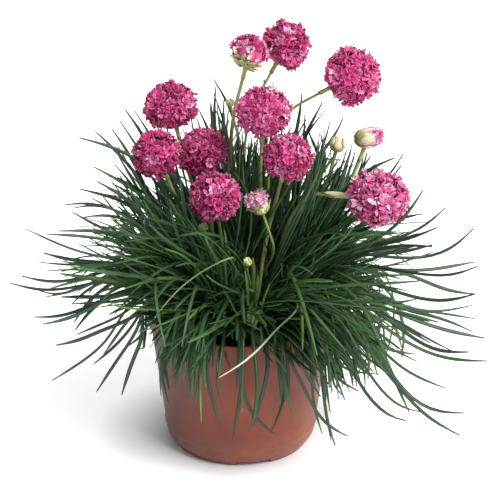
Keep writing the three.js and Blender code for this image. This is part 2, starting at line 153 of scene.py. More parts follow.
# A head's proportions, as shares of its radius
STEM_REACH = 0.72
HEAD_UNDERSIDE = 0.66
CUP_THICKNESS = 0.17
BUD_UNDERSIDE = 1.1
HEAD_FLATNESS = 0.9
YOUNG_SCALE = 0.72

# Sizes of the flowers in general
HEAD_COUNT = 11
UNDERSIDE_ROOM = 0.3 * MM
SCALE_THICKNESS = 0.22 * MM
BUD_PETAL_THICKNESS = 0.16 * MM
CORE_RINGS = 11
CORE_SIDES = 24
PATCH_SIZE = 7.5 * MM
PATCH_CONTRAST = 0.42
# A direction that none of the flowers faces
SKEW = np.array([0.31, 0.87, 0.38])

# Seeds of the random draws; a flower's or a rosette's number is added where there are many
LUMP_SEED, GRAIN_SEED, CRUMB_SEED = 21, 22, 31
CORE_SEED, PATCH_SEED, BUD_PETAL_SEED = 5, 40, 470
FLORET_SEED, PETAL_SEED = 100, 200
CUP_SEED, BUD_SEED, ROW_SEED, TONE_SEED = 300, 400, 30, 1000
TRACED_SEED, TUFT_SEED, LINE_SEED = 7, 500, 600

# The camera, and how the photograph's pixels lie in it
PICTURE = 500
FOCAL_PIXELS = 2200
SENSOR = 36
EYE = np.array([5.391, -1160.767, 636.710]) * MM
TILT = math.radians(66)
LOOK = np.array([0, math.sin(TILT), -math.cos(TILT)])
LIFT = np.array([0, math.cos(TILT), math.sin(TILT)])

# The main light falls from the upper right, from a little in front
KEY_TURN = (math.radians(26), math.radians(32), 0)

# The floor's own light, which thins the shadow, grows over this ring round the pot
POOL_INNER, POOL_OUTER = 42 * MM, 88 * MM

# Each flower: the number of its nodes, its middle and width in millimetres, its axis and how far it is open
FLOWERS = (
    ("01", (-40, 24, 199), 31, (-0.25, 0.1, 1), "full"),
    ("02", (-47, -14, 185), 28, (-0.35, -0.25, 1), "full"),
    ("03", (-22, 8, 177), 28, (-0.15, 0.05, 1), "full"),
    ("04", (-14, -36, 168), 28, (-0.1, -0.45, 1), "full"),
    ("05", (13, -6, 207), 32, (0.05, -0.15, 1), "full"),
    ("06", (26, -32, 190), 27, (0.2, -0.35, 1), "full"),
    ("07", (26, 32, 233), 28, (0.55, 0.1, 1), "full"),
    ("08", (62, 5, 224), 34, (1, -0.1, 0.6), "full"),
    ("09", (76, -35, 167), 36, (1, -0.45, 0.1), "full"),
    ("10", (5, 10, 236), 22, (0.25, 0, 1), "half"),
    ("11", (73, 14, 184), 19, (0.35, 0.05, 1), "opening"),
    ("12", (56, 22, 177), 10, (0.25, 0.1, 1), "closed"),
    ("13", (11, -34, 162), 11, (-0.3, -0.15, 1), "budding"),
    ("14", (4, -52, 136), 5.5, (0, -0.35, 1), "green"),
    ("15", (-21, -22, 144), 5.5, (-0.2, -0.2, 1), "green"),
    ("16", (-6, 26, 201), 5, (-0.2, 0, 1), "brown"),
)

# The way that some flowers face, where it isn't their stem's
FACES = {
    "07": (0.75, 0.05, 0.75), "10": (0.45, 0.4, 0.8), "11": (1, -0.1, 0.2), "12": (0.3, 0.1, 1),
    "13": (-0.5, -0.1, 1), "14": (-0.35, -0.1, 1),
}
# What sets some flowers apart, as shares: the thickness of the stem, the head's height, the size of its
# florets, how far out they sit, how pale they are and how slim the whole flower is
STEM_SHARES = {"07": 0.78, "08": 0.78, "13": 0.72, "14": 0.62, "15": 0.7, "16": 0.7}
FLATNESS = {"02": 0.97, "07": 1.0, "08": 1.02, "09": 1.22}
FLORET_SCALES = {"08": 1.15, "09": 1.3}
LIFTS = {
    "01": 0.77, "02": 0.72, "03": 0.83, "04": 0.77, "05": 0.74, "06": 0.75, "07": 0.74, "08": 0.71,
    "09": 0.62,
}
PALENESS = {"04": 0.06, "05": 0.2, "06": 0.06, "07": 0.12, "08": 0.14, "09": 0.36, "11": 0.42}
SLIMNESS = {"11": 0.72, "12": 0.93, "14": 0.82}

# Leaves that stand clear of the mass, as pixels of the photograph, across and down in turn: the tip, then
# places further in
LEFT_LEAVES = (
    (10, 283, 40, 290, 80, 286), (22, 276, 50, 282, 85, 277, 112, 270),
    (45, 297, 62, 294, 90, 283, 112, 276), (40, 291, 56, 295, 80, 288), (62, 297, 90, 297, 112, 296),
    (72, 304, 88, 303, 110, 302), (73, 303, 82, 294, 92, 287), (35, 317, 55, 317, 85, 308, 110, 297),
    (44, 324, 70, 318, 98, 304, 118, 294), (75, 321, 88, 302, 103, 289), (76, 329, 92, 309, 108, 297),
    (78, 334, 104, 323, 130, 309), (57, 345, 80, 340, 105, 329, 122, 323),
    (53, 380, 80, 363, 107, 340, 122, 315), (95, 363, 118, 343, 138, 317), (104, 354, 120, 331, 132, 316),
    (97, 391, 120, 356, 142, 320), (122, 394, 135, 355, 148, 325), (128, 346, 141, 337, 151, 329),
    (140, 349, 150, 348, 160, 343), (145, 342, 153, 334), (110, 314, 122, 308),
    (38, 262, 71, 265, 107, 263), (26, 229, 54, 242, 77, 251), (46, 234, 67, 235), (59, 231, 103, 231),
    (64, 205, 90, 203, 115, 210), (74, 208, 90, 205), (80, 189, 100, 194, 122, 201), (98, 182, 115, 191),
    (94, 167, 115, 178, 134, 190), (80, 138, 107, 145, 134, 157), (96, 132, 107, 142), (112, 129, 122, 143),
    (126, 111, 138, 127), (134, 110, 144, 125), (120, 121, 134, 142), (72, 212, 90, 222),
    (85, 217, 107, 215), (44, 253, 57, 257), (115, 165, 130, 182), (119, 157, 134, 182),
    (113, 184, 128, 192),
)
RIGHT_LEAVES = (
    (403, 154, 394, 169), (394, 158, 373, 167), (401, 166, 392, 178), (423, 190, 411, 209, 399, 223),
    (422, 214, 409, 216), (445, 208, 426, 225, 409, 234), (436, 228, 420, 235),
    (473, 229, 454, 247, 422, 258), (432, 245, 407, 251), (474, 262, 448, 267, 428, 270),
    (478, 266, 454, 275, 426, 275), (475, 294, 445, 301, 400, 293), (474, 294, 450, 291, 420, 279),
    (417, 299, 395, 303, 370, 300), (473, 305, 445, 311, 410, 308), (476, 319, 440, 313, 400, 306),
    (471, 331, 440, 318, 405, 310), (484, 338, 445, 330, 405, 316), (442, 318, 415, 311, 385, 303),
    (438, 322, 410, 315, 380, 306), (430, 322, 400, 313, 370, 303), (468, 352, 435, 350, 398, 327),
    (452, 351, 430, 340, 398, 321), (430, 343, 410, 331, 388, 317),
    (487, 361, 440, 357, 400, 338, 378, 322), (396, 326, 380, 327, 362, 325),
    (384, 326, 372, 320, 360, 313), (414, 354, 390, 350, 368, 337), (416, 361, 398, 352, 380, 344),
    (445, 388, 405, 370, 385, 353, 370, 335), (464, 413, 430, 410, 400, 386, 378, 352),
    (459, 435, 425, 415, 398, 386, 376, 358), (409, 412, 397, 385, 384, 354),
    (421, 412, 402, 408, 378, 386, 362, 362), (405, 427, 375, 405, 355, 375, 345, 352),
    (358, 391, 343, 383, 328, 372), (341, 394, 330, 382), (396, 381, 378, 364, 365, 345),
    (390, 375, 375, 353, 363, 335), (378, 374, 355, 372, 335, 364), (353, 386, 351, 372, 345, 357),
    (365, 388, 365, 374, 358, 355), (366, 373, 350, 353, 338, 334), (359, 373, 346, 354, 335, 336),
    (373, 372, 358, 354, 344, 336), (368, 360, 353, 342), (383, 346, 380, 333, 374, 325),
    (350, 362, 340, 352, 331, 345), (343, 356, 334, 350), (408, 240, 378, 246, 348, 262),
    (392, 233, 368, 240, 345, 252), (400, 248, 372, 250, 340, 262), (385, 240, 362, 247, 338, 258),
    (416, 246, 385, 254, 350, 268), (378, 230, 358, 238, 338, 250),
)
TOP_LEAVES = (
    (214, 80, 222, 92, 230, 108), (216, 87, 214, 104, 216, 136), (214, 94, 220, 110, 228, 138),
    (216, 111, 222, 123, 228, 140), (224, 100, 223, 116), (210, 105, 211, 120, 213, 132),
    (200, 112, 206, 124), (302, 94, 300, 112, 296, 134), (322, 103, 312, 122, 303, 139),
    (325, 111, 314, 123, 304, 139), (330, 121, 328, 132, 324, 144), (343, 118, 337, 133, 328, 144),
    (308, 130, 313, 143, 318, 152), (273, 82, 274, 100), (264, 80, 265, 95), (321, 135, 324, 146),
    (252, 137, 250, 152, 246, 172), (258, 135, 256, 152, 253, 176), (262, 136, 261, 152, 263, 172),
    (268, 137, 266, 150, 264, 168), (245, 146, 244, 166), (240, 147, 241, 167),
    (249, 142, 248, 160, 250, 180), (236, 150, 238, 170), (255, 150, 257, 170, 256, 190),
    (351, 150, 347, 164, 343, 180), (355, 152, 351, 166, 346, 182), (364, 151, 363, 162, 357, 178),
    (370, 157, 364, 166, 357, 177), (359, 156, 355, 168, 350, 182), (367, 153, 364, 164, 359, 180),
)
# Leaves that hang over the pot's rim
FRONT_LEAVES = (
    (161, 395, 160, 372, 165, 346), (168, 401, 163, 384, 162, 362), (169, 388, 165, 368, 167, 345),
    (164, 380, 163, 362, 170, 340), (176, 388, 178, 366, 179, 345), (175, 376, 174, 356, 177, 338),
    (188, 397, 190, 372, 193, 350), (192, 399, 192, 376, 190, 352), (194, 386, 195, 366, 194, 345),
    (196, 402, 199, 378, 199, 352), (206, 386, 204, 366, 203, 345), (219, 423, 212, 397, 207, 372),
    (213, 366, 212, 352, 210, 336), (218, 378, 219, 357, 218, 338), (207, 363, 208, 352, 206, 336),
    (221, 403, 218, 389, 217, 372), (237, 389, 238, 371, 240, 350), (242, 411, 242, 386, 243, 350),
    (233, 440, 237, 415, 241, 388), (251, 429, 257, 400, 269, 355), (254, 424, 262, 395, 268, 362),
    (275, 434, 258, 421, 246, 402), (271, 432, 279, 415, 284, 398), (283, 407, 280, 378, 275, 352),
    (285, 404, 284, 376, 283, 350), (291, 412, 286, 388, 285, 352), (289, 398, 288, 372, 289, 346),
    (294, 366, 292, 350), (299, 366, 297, 348), (347, 436, 318, 415, 300, 380, 290, 362),
    (335, 445, 328, 424, 324, 396, 322, 368), (331, 440, 326, 415, 322, 385),
    (330, 411, 327, 391, 325, 370), (322, 433, 317, 418, 314, 405), (320, 396, 311, 382, 301, 362),
    (319, 386, 312, 370, 303, 350), (315, 376, 307, 360, 300, 345), (326, 400, 323, 376, 321, 352),
    (331, 372, 330, 352, 328, 334), (326, 374, 324, 352, 322, 334), (150, 334, 155, 318),
    (156, 344, 160, 322), (147, 326, 154, 310), (161, 352, 163, 330), (153, 340, 158, 316),
    (145, 318, 152, 304), (158, 336, 161, 312), (164, 350, 166, 328),
)
STRAW_LEAVES = ((220, 377, 243, 363, 262, 346, 284, 322, 300, 308),)
YELLOW_LEAVES = (
    (201, 421, 200, 386, 201, 350), (245, 272, 248, 298, 251, 322), (253, 258, 253, 290, 252, 320),
    (262, 266, 258, 295, 253, 322), (270, 284, 262, 304, 254, 324), (237, 292, 244, 308, 250, 325),
    (258, 276, 256, 300, 255, 324), (368, 378, 370, 362, 366, 341),
)
LIGHT_LEAVES = ((155, 317, 169, 299, 200, 272, 228, 258),)
PALE_LEAVES = (
    (235, 173, 243, 183, 250, 200), (304, 188, 297, 197, 288, 212),
)

# The edge of the leaf mass in the photograph and the place from which the leaves spread, then the rows and
# columns of pixels that bound some kinds of tips, and the shares of leaves that those kinds get
MASS_EDGE = (
    (36, 281), (52, 251), (70, 225), (90, 199), (106, 171), (114, 147), (130, 124), (160, 112), (200, 108),
    (216, 96), (240, 120), (270, 122), (302, 108), (330, 124), (350, 134), (372, 150), (400, 170),
    (425, 205), (448, 238), (440, 268), (427, 300), (420, 325), (414, 348), (404, 364), (384, 378),
    (364, 390), (345, 400), (322, 396), (300, 376), (275, 366), (240, 366), (205, 368), (182, 384),
    (160, 380), (151, 356), (138, 337), (116, 319), (92, 308), (68, 299), (48, 291),
)
MASS_CENTRE = (240, 290)
LOW_TIPS, LOW_SHARE = 345, 0.22
HIGH_TIPS, HIGH_SHARE = 195, 0.3
HIGH_MIDDLE, HIGH_REACH = 285, 75
FINE_TIPS = 230
RIM_PIXEL = 358
REACH = np.array(CAD_BOX[1]) + 7 * MM


def from_hex(code):
    """A colour written as on a paint card, as the three linear shares that Blender takes."""
    shares = [int(code[i:i + 2], 16) / 255 for i in (1, 3, 5)]
    return tuple(share / 12.92 if share < 0.04045 else ((share + 0.055) / 1.055) ** 2.4 for share in shares)


def unit(vectors):
    """Each vector divided by its own length."""
    return vectors / np.linalg.norm(vectors, axis=-1, keepdims=True)


def circle(angles):
    """Points of the unit circle round Z."""
    return np.stack([np.cos(angles), np.sin(angles), np.zeros_like(angles)], axis=-1)


def ramp(values, low, high):
    """A smooth step from 0 at low to 1 at high: 3t² - 2t³."""
    t = np.clip((values - low) / (high - low), 0, 1)
    return t * t * (3 - 2 * t)


def bumps(points, size, seed, waves=14):
    """Smooth unevenness about one size across, from -1 to 1: a sum of sine waves in seeded directions."""
    draw = np.random.default_rng(seed)
    steps = unit(draw.normal(size=(waves, 3))) * (TURN / (size * draw.uniform(0.7, 1.8, (waves, 1))))
    return np.sin(points @ steps.T + draw.uniform(0, TURN, waves)).sum(-1) / math.sqrt(waves) / 1.4


def turned_about(vectors, axes, angles):
    """Vectors square to their axes, turned about them: v cos a + (axis × v) sin a."""
    angles = np.asarray(angles)[..., None]
    return vectors * np.cos(angles) + np.cross(axes, vectors) * np.sin(angles)


def square_to(axes, reference):
    """Two directions square to each axis and to each other, the first also square to the reference."""
    side = unit(np.cross(reference, axes))
    return side, np.cross(axes, side)


def bands(rings):
    """Quads between rings of point numbers (rings, sides), each ring with the next and closed round."""
    ahead = np.roll(rings, -1, axis=1)
    return np.stack([rings[:-1], ahead[:-1], ahead[1:], rings[1:]], axis=-1).reshape(-1, 4)


def spokes(side, lift, angles):
    """Directions round an axis: side times the cosine of an angle and lift times its sine."""
    return side * np.cos(angles)[..., None] + lift * np.sin(angles)[..., None]


def spindle_faces(copies, rings, sides):
    """Faces of closed tubes: a first point, rings of points and a last point, for every copy."""
    size = rings * sides + 2
    ring = 1 + np.arange(rings * sides).reshape(rings, sides)
    ahead = np.roll(ring, -1, axis=1)
    first = np.stack([np.zeros(sides, int), ahead[0], ring[0]], axis=-1)
    last = np.stack([np.full(sides, size - 1), ring[-1], ahead[-1]], axis=-1)
    offsets = size * np.arange(copies)[:, None, None]
    ends = np.concatenate([first, last])
    return [(faces + offsets).reshape(-1, faces.shape[1]) for faces in (bands(ring), ends)]


def tubes(paths, radii, sides, reference):
    """Closed round tubes: at each step of a path a ring of the step's radius square to the path."""
    copies, steps, _ = paths.shape
    side, lift = square_to(unit(np.gradient(paths, axis=1)), reference)
    ways = spokes(side[:, :, None], lift[:, :, None], TURN * np.arange(sides) / sides)
    rings = paths[:, :, None] + ways * radii[..., None, None]
    points = np.concatenate([paths[:, :1], rings.reshape(copies, -1, 3), paths[:, -1:]], axis=1)
    return points.reshape(-1, 3), spindle_faces(copies, steps, sides)


def lens_faces(copies, rows, columns):
    """Faces of closed lenses: an upper grid and a lower one that share their edge points."""
    upper = np.arange(rows * columns).reshape(rows, columns)
    lower = upper.copy()
    inner = (rows - 2) * (columns - 2)
    lower[1:-1, 1:-1] = rows * columns + np.arange(inner).reshape(rows - 2, columns - 2)
    quads = []
    for grid, order in ((upper, 1), (lower, -1)):
        corners = [grid[:-1, :-1], grid[1:, :-1], grid[1:, 1:], grid[:-1, 1:]][::order]
        quads.append(np.stack(corners, axis=-1).reshape(-1, 4))
    offsets = (rows * columns + inner) * np.arange(copies)[:, None, None]
    return [(np.concatenate(quads) + offsets).reshape(-1, 4)]


def lenses(grids, thickness):
    """Closed thin blades from grids (copies, rows, columns, 3): the lower side lies a thickness below."""
    copies, rows, columns, _ = grids.shape
    normals = unit(np.cross(np.gradient(grids, axis=1), np.gradient(grids, axis=2)))
    lower = (grids - normals * thickness)[:, 1:-1, 1:-1]
    points = np.concatenate([grids.reshape(copies, -1, 3), lower.reshape(copies, -1, 3)], axis=1)
    return points.reshape(-1, 3), lens_faces(copies, rows, columns)


# Every map is 32 upright strips. A piece of a surface lies in the strip of its variant, which sets its
# colour.
VARIANTS = 32
STRIP_MARGIN = 0.08
STRIP_END = 0.01


def strips(places, variants):
    """Map places (points, 2), as shares across and along, put into the strip of each copy's variant."""
    inset = STRIP_MARGIN + (1 - 2 * STRIP_MARGIN) * places[:, 0]
    across = (variants[:, None] + inset) / VARIANTS
    along = np.broadcast_to(STRIP_END + (1 - 2 * STRIP_END) * places[:, 1], across.shape)
    return np.stack([across, along], axis=-1).reshape(-1, 2)


def lens_map(variants, rows, columns):
    """Map places of closed lenses: both grids of a lens lie over the whole strip."""
    along, across = np.meshgrid(np.linspace(0, 1, rows), np.linspace(0, 1, columns), indexing="ij")
    places = np.stack([across, along], axis=-1)
    return strips(np.concatenate([places.reshape(-1, 2), places[1:-1, 1:-1].reshape(-1, 2)]), variants)


def halfway_round(sides):
    """Shares across a strip that go over and back once round a tube, so that no seam shows."""
    return np.abs(np.linspace(-1, 1, sides, endpoint=False))


def spindle_map(rings, across, variants, end=0.03):
    """Map places of closed tubes: given shares across the strip round each ring, even shares along it."""
    along = np.linspace(end, 1 - end, rings)
    places = np.stack(np.broadcast_arrays(across, along[:, None]), axis=-1).reshape(-1, 2)
    return strips(np.concatenate([[[0.5, 0]], places, [[0.5, 1]]]), variants)


class Parts:
    """Points, faces and map places gathered from several surfaces, to become one mesh."""

    def __init__(self):
        self.points, self.faces, self.places = [], [], []
        self.count = 0

    def add(self, surface, places=None):
        points, face_sets = surface
        self.points.append(points)
        self.faces += [faces + self.count for faces in face_sets]
        self.places.append(np.zeros((len(points), 2)) if places is None else places)
        self.count += len(points)

    def slim(self, flower):
        """Draws everything in towards the line through the flower's middle along its face, by its slimness.
        """
        share = SLIMNESS.get(flower.label, 1.0)
        for number, points in enumerate(self.points):
            away = points - flower.middle
            along = (away @ flower.face)[:, None] * flower.face
            self.points[number] = flower.middle + along + (away - along) * share

    def make(self, name, material, nodes, mapped=False):
        """The piece: its mesh, its finish, the body it rides on and the nodes it stands for."""
        mesh = bpy.data.meshes.new(name)
        corners = np.concatenate([faces.ravel() for faces in self.faces]).astype(np.int32)
        sizes = np.concatenate([np.full(len(faces), faces.shape[1]) for faces in self.faces])
        mesh.vertices.add(self.count)
        mesh.vertices.foreach_set("co", np.concatenate(self.points).astype(np.float32).ravel())
        mesh.loops.add(len(corners))
        mesh.loops.foreach_set("vertex_index", corners)
        mesh.polygons.add(len(sizes))
        mesh.polygons.foreach_set("loop_start", (np.cumsum(sizes) - sizes).astype(np.int32))
        mesh.polygons.foreach_set("use_smooth", np.ones(len(sizes), bool))
        if mapped:
            places = np.concatenate(self.places)[corners].astype(np.float32)
            mesh.uv_layers.new(name="OFBake").data.foreach_set("uv", places.ravel())
        mesh.update(calc_edges=True)
        if mesh.validate():
            raise RuntimeError(f"the mesh of {name} had faults")
        mesh.materials.append(material)
        piece = bpy.data.objects.new(name, mesh)
        bpy.context.scene.collection.objects.link(piece)
        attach(piece, "root")
        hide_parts(*nodes)
        return piece


class Nodes:
    """The nodes of a material or a world, each fed in order with values or with other nodes' outputs."""

    def __init__(self, tree):
        self.tree = tree

    def feed(self, socket, value):
        if isinstance(value, bpy.types.NodeSocket):
            self.tree.links.new(value, socket)
        elif socket.type == "RGBA":
            socket.default_value = (*value, 1)
        else:
            socket.default_value = value

    def node(self, kind, output=0, inputs=None, **settings):
        node = self.tree.nodes.new("ShaderNode" + kind)
        for name, value in settings.items():
            setattr(node, name, value)
        for name, value in (inputs or {}).items():
            self.feed(node.inputs[name], value)
        return node.outputs[output]

    def math(self, operation, first, second=0.0):
        return self.node("Math", operation=operation, inputs={0: first, 1: second})

    def spread(self, value, low=0, high=1, first=0, last=1):
        """The value carried over from the range between low and high to the one between first and last."""
        names = ("Value", "From Min", "From Max", "To Min", "To Max")
        return self.node("MapRange", inputs=dict(zip(names, (value, low, high, first, last))))


class Finish(Nodes):
    """A material in the making."""

    def __init__(self, name, roughness=0.5):
        self.material = bpy.data.materials.new(name)
        self.material.use_nodes = True
        super().__init__(self.material.node_tree)
        self.set(Roughness=roughness)

    def set(self, **values):
        """Sets the shader's own sockets, with underscores for the spaces in their names."""
        shader = self.tree.nodes["Principled BSDF"]
        for name, value in values.items():
            self.feed(shader.inputs[name.replace("_", " ")], value)

    def mix(self, share, first, second, blend="MIX"):
        return self.node("Mix", 2, {0: share, 6: first, 7: second}, data_type="RGBA", blend_type=blend)

    def over(self, base, color, share, strength=None):
        """The base with a colour laid over it by a share, which a strength can thin."""
        if strength is not None:
            share = self.math("MULTIPLY", share, strength)
        return self.mix(share, base, color)

    def shaded(self, base, light):
        """The base made lighter or darker by a factor."""
        grey = self.node("CombineColor", inputs={channel: light for channel in range(3)})
        return self.mix(1.0, base, grey, "MULTIPLY")

    def ramp(self, value, stops):
        output = self.node("ValToRGB", inputs={0: value})
        elements = output.node.color_ramp.elements
        while len(elements) < len(stops):
            elements.new(0.5)
        for element, (position, color) in zip(elements, stops):
            element.position = position
            element.color = (*color, 1)
        return output

    def clouded(self, value, settings, stops):
        """The settings' deep, main and pale colours at three stops of a value."""
        return self.ramp(value, list(zip(stops, (settings.deep_color, settings.color, settings.pale_color))))

    def place(self):
        """Where on the piece: its own coordinates, in metres."""
        return self.node("TexCoord", "Object")

    def noise(self, size, detail=3, place=None, stretch=(1, 1, 1)):
        """Noise with features about one size across, a little more or less along each axis."""
        at = self.node("Mapping", inputs={0: place or self.place(), "Scale": stretch})
        return self.node("TexNoise", inputs={"Vector": at, "Scale": 1 / size, "Detail": detail})

    def specks(self, size, edge, middle):
        """Round specks in cells of about one size, from 0 at their edge to 1 near their middle."""
        cells = self.node("TexVoronoi", inputs={"Vector": self.place(), "Scale": 1 / size})
        return self.spread(cells, edge, middle)

    def bump(self, height, distance, strength=1.0):
        normal = self.node("Bump", inputs={"Strength": strength, "Distance": distance, "Height": height})
        self.set(Normal=normal)

    def strip(self):
        """The piece's own map read as strips: the variant's number, the shares across the strip and along
        it, and a place made of both.
        """
        first = self.node("SeparateXYZ", inputs={0: self.node("UVMap", uv_map="OFBake")})
        scaled = self.math("MULTIPLY", first, VARIANTS)
        variant, across, along = self.math("FLOOR", scaled), self.math("FRACT", scaled), first.node.outputs[1]
        place = self.node("CombineXYZ", inputs={0: self.math("ADD", across, variant), 1: along})
        return variant, across, along, place

    def at_least(self, variant, number):
        """1 for the variants from a number upwards, 0 for the others."""
        return self.math("GREATER_THAN", variant, number - 0.5)

    def from_middle(self, across):
        return self.math("ABSOLUTE", self.math("SUBTRACT", across, 0.5))

    def margin(self, across, along, side, outer, tip):
        """A petal's or scale's thin edge: it grows from side to outer off the middle, and from tip to the
        end.
        """
        sides = self.spread(self.from_middle(across), side, outer)
        return self.math("MAXIMUM", sides, self.spread(along, tip))

    def chance(self, variant, seed):
        """A number between 0 and 1 of each variant's own."""
        place = self.math("ADD", variant, seed)
        return self.node("TexWhiteNoise", noise_dimensions="1D", inputs={"W": place})


def pixels_of(points):
    """Where points show in the photograph, and how far they lie from the camera's plane."""
    away = points - EYE
    distance = away @ LOOK
    across = PICTURE / 2 + FOCAL_PIXELS * away[..., 0] / distance
    down = PICTURE / 2 - FOCAL_PIXELS * (away @ LIFT) / distance
    return np.stack([across, down], axis=-1), distance


def place_at(pixels, depth):
    """Where the rays through pixels of the photograph meet planes of constant Y."""
    shares = (np.asarray(pixels, float) - PICTURE / 2) / FOCAL_PIXELS
    rays = LOOK + shares[..., :1] * np.array([1.0, 0, 0]) - shares[..., 1:] * LIFT
    reach = (depth - EYE[1]) / rays[..., 1]
    return EYE + rays * reach[..., None]


class Flower:
    """One stem with its head or bud: places along its axis."""

    def __init__(self, label, middle, width, axis, kind):
        self.label, self.number, self.kind = label, int(label), kind
        self.face = unit(np.array(FACES.get(label, axis), float))
        self.middle = np.array(middle) * MM
        self.radius = width / 2 * MM
        self.axis = unit(np.array(axis, float))
        self.is_head = self.number <= HEAD_COUNT
        underside = (HEAD_UNDERSIDE + CUP_THICKNESS) * self.radius + UNDERSIDE_ROOM
        if not self.is_head:
            underside = BUD_UNDERSIDE * self.radius
        self.stem_top = self.middle - self.axis * (underside + UNDERSIDE_ROOM)
        reach = STEM_REACH * SLIMNESS.get(label, 1) * self.radius
        self.stem_end = self.middle - self.axis * reach

    def base(self, place, count):
        """The stem's foot: one of evenly spaced places on the circle round the crown."""
        angle = -math.pi + (place + 0.5) * TURN / count
        return np.array([STEM_CIRCLE * math.cos(angle), STEM_CIRCLE * math.sin(angle), SHOOT_BASE])


ALL_FLOWERS = [Flower(*row) for row in FLOWERS]
HEADS = [flower for flower in ALL_FLOWERS if flower.is_head]
BUDS = [flower for flower in ALL_FLOWERS if not flower.is_head]


def corner_arc(radius, height, size, steps):
    """A quarter circle from straight down to straight out, as radius and height pairs."""
    angles = np.linspace(-math.pi / 2, 0, steps + 1)
    return np.stack([radius + size * np.cos(angles), height + size * np.sin(angles)], axis=-1)


def pot_profile():
    """The pot's section as pairs of radius and height: from the edge of the floor's underside over a foot,
    up the outside, round the lip and down inside.
    """
    lip = 0.9 * MM
    lip_angles = np.linspace(0, math.pi, 9)
    rim_middle = RIM_RADIUS - RIM_THICKNESS / 2
    lip_round = np.stack([
        rim_middle + RIM_THICKNESS / 2 * np.cos(lip_angles),
        POT_HEIGHT - lip + lip * np.sin(lip_angles),
    ], axis=-1)
    wall_low = np.array([BASE_RADIUS, BASE_CORNER])
    wall_high = np.array([SHOULDER_RADIUS, BAND_BOTTOM])
    shares = np.array([0.0, 0.02, 0.035, 0.05, 0.065, 0.2, 0.4, 0.6, 0.8, 0.95, 0.985, 1.0])[:, None]
    wall = wall_low + (wall_high - wall_low) * shares
    wall[:, 0] += np.array([0, 0, 0.5, 0.5, 0, 0, 0, 0, 0, 0, -0.25, -0.1]) * MM
    band = np.array([
        [RIM_RADIUS - 0.5 * MM, BAND_BOTTOM + 0.15 * MM],
        [RIM_RADIUS - 0.12 * MM, BAND_BOTTOM + 0.5 * MM],
        [RIM_RADIUS, BAND_BOTTOM + 1.1 * MM],
        [RIM_RADIUS, POT_HEIGHT - 2.4 * MM],
    ])
    inner_shoulder = SHOULDER_RADIUS - WALL
    inside = np.array([
        [RIM_RADIUS - RIM_THICKNESS, BAND_BOTTOM + 0.7 * MM],
        [inner_shoulder, BAND_BOTTOM - 1.5 * MM],
    ])
    inner_corner = BASE_CORNER - WALL
    foot = np.array([
        [FLOOR_RADIUS, FOOT_HEIGHT],
        [FOOT_INNER - FOOT_SLOPE, FOOT_HEIGHT],
        [FOOT_INNER - 0.3 * MM, 0.35 * MM],
        [FOOT_INNER, 0],
        [FOOT_OUTER - 0.4 * MM, 0],
        [FOOT_OUTER, 0.3 * MM],
        [FOOT_OUTER + 1.3 * MM, 2.6 * MM],
    ])
    return np.concatenate([
        foot,
        corner_arc(CORNER_CENTRE, BASE_CORNER, BASE_CORNER, 10)[5:-1],
        wall,
        band,
        lip_round,
        inside,
        corner_arc(CORNER_CENTRE, INNER_FLOOR + inner_corner, inner_corner, 6)[::-1],
        [[FLOOR_RADIUS, INNER_FLOOR]],
    ])


def pot_angles():
    """Even steps round the pot, and a close pair of angles at both ends of each gap between the feet."""
    even = TURN * np.arange(192) / 192
    gaps = FIRST_GAP + TURN * np.arange(FOOT_COUNT) / FOOT_COUNT
    ends = np.concatenate([gaps - FOOT_GAP / 2, gaps + FOOT_GAP / 2])
    pairs = np.concatenate([ends - math.radians(0.25), ends + math.radians(0.25)])
    return np.unique(np.round(np.concatenate([even, pairs]) % TURN, 9)), gaps


def pot_shell(angles, gaps):
    """The profile turned round Z; between the feet, what lies lower than the floor is lifted to it."""
    profile = pot_profile()
    grid = circle(angles)[:, None] * profile[:, :1] + UP * profile[:, 1:]
    from_gap = np.abs((angles[:, None] - gaps + math.pi) % TURN - math.pi).min(-1)
    in_gap = from_gap < FOOT_GAP / 2
    grid[in_gap, :, 2] = np.maximum(grid[in_gap, :, 2], FOOT_HEIGHT)
    index = np.arange(len(angles) * len(profile)).reshape(len(angles), len(profile))
    return grid.reshape(-1, 3), [bands(index.T)]


def drain_sector(angles, number):
    """A slice of the floor round one drain hole: lines from the slice's edge to the hole's circle above,
    down the hole's wall and back to the edge below.
    """
    middle = number * TURN / DRAIN_COUNT
    half = math.pi / DRAIN_COUNT
    turned = (angles - middle + math.pi) % TURN - math.pi
    arc = np.sort(turned[np.abs(turned) <= half + 1e-6])
    spoke = np.linspace(0, 1, 9)[:, None]
    edge = np.concatenate([
        circle(np.full(8, -half)) * spoke[:-1],
        circle(arc),
        circle(np.full(7, half)) * spoke[-2:0:-1],
    ]) * FLOOR_RADIUS
    centre = np.array([DRAIN_CIRCLE, 0, 0])
    hole = centre + unit(edge - centre) * DRAIN_RADIUS
    flat = edge + (hole - edge) * np.linspace(0, 1, 4)[:, None, None]
    spin = np.array([
        [math.cos(middle), math.sin(middle), 0],
        [-math.sin(middle), math.cos(middle), 0],
        [0, 0, 1],
    ])
    rings = np.concatenate([flat + UP * INNER_FLOOR, flat[::-1] + UP * FOOT_HEIGHT]) @ spin
    index = np.arange(rings[..., 0].size).reshape(rings.shape[:2])
    return rings.reshape(-1, 3), [bands(index)]


def merge_doubles(mesh):
    """Joins points that lie together, which closes the seams between a piece's surfaces."""
    work = bmesh.new()
    work.from_mesh(mesh)
    bmesh.ops.remove_doubles(work, verts=work.verts, dist=0.01 * MM)
    work.to_mesh(mesh)
    work.free()


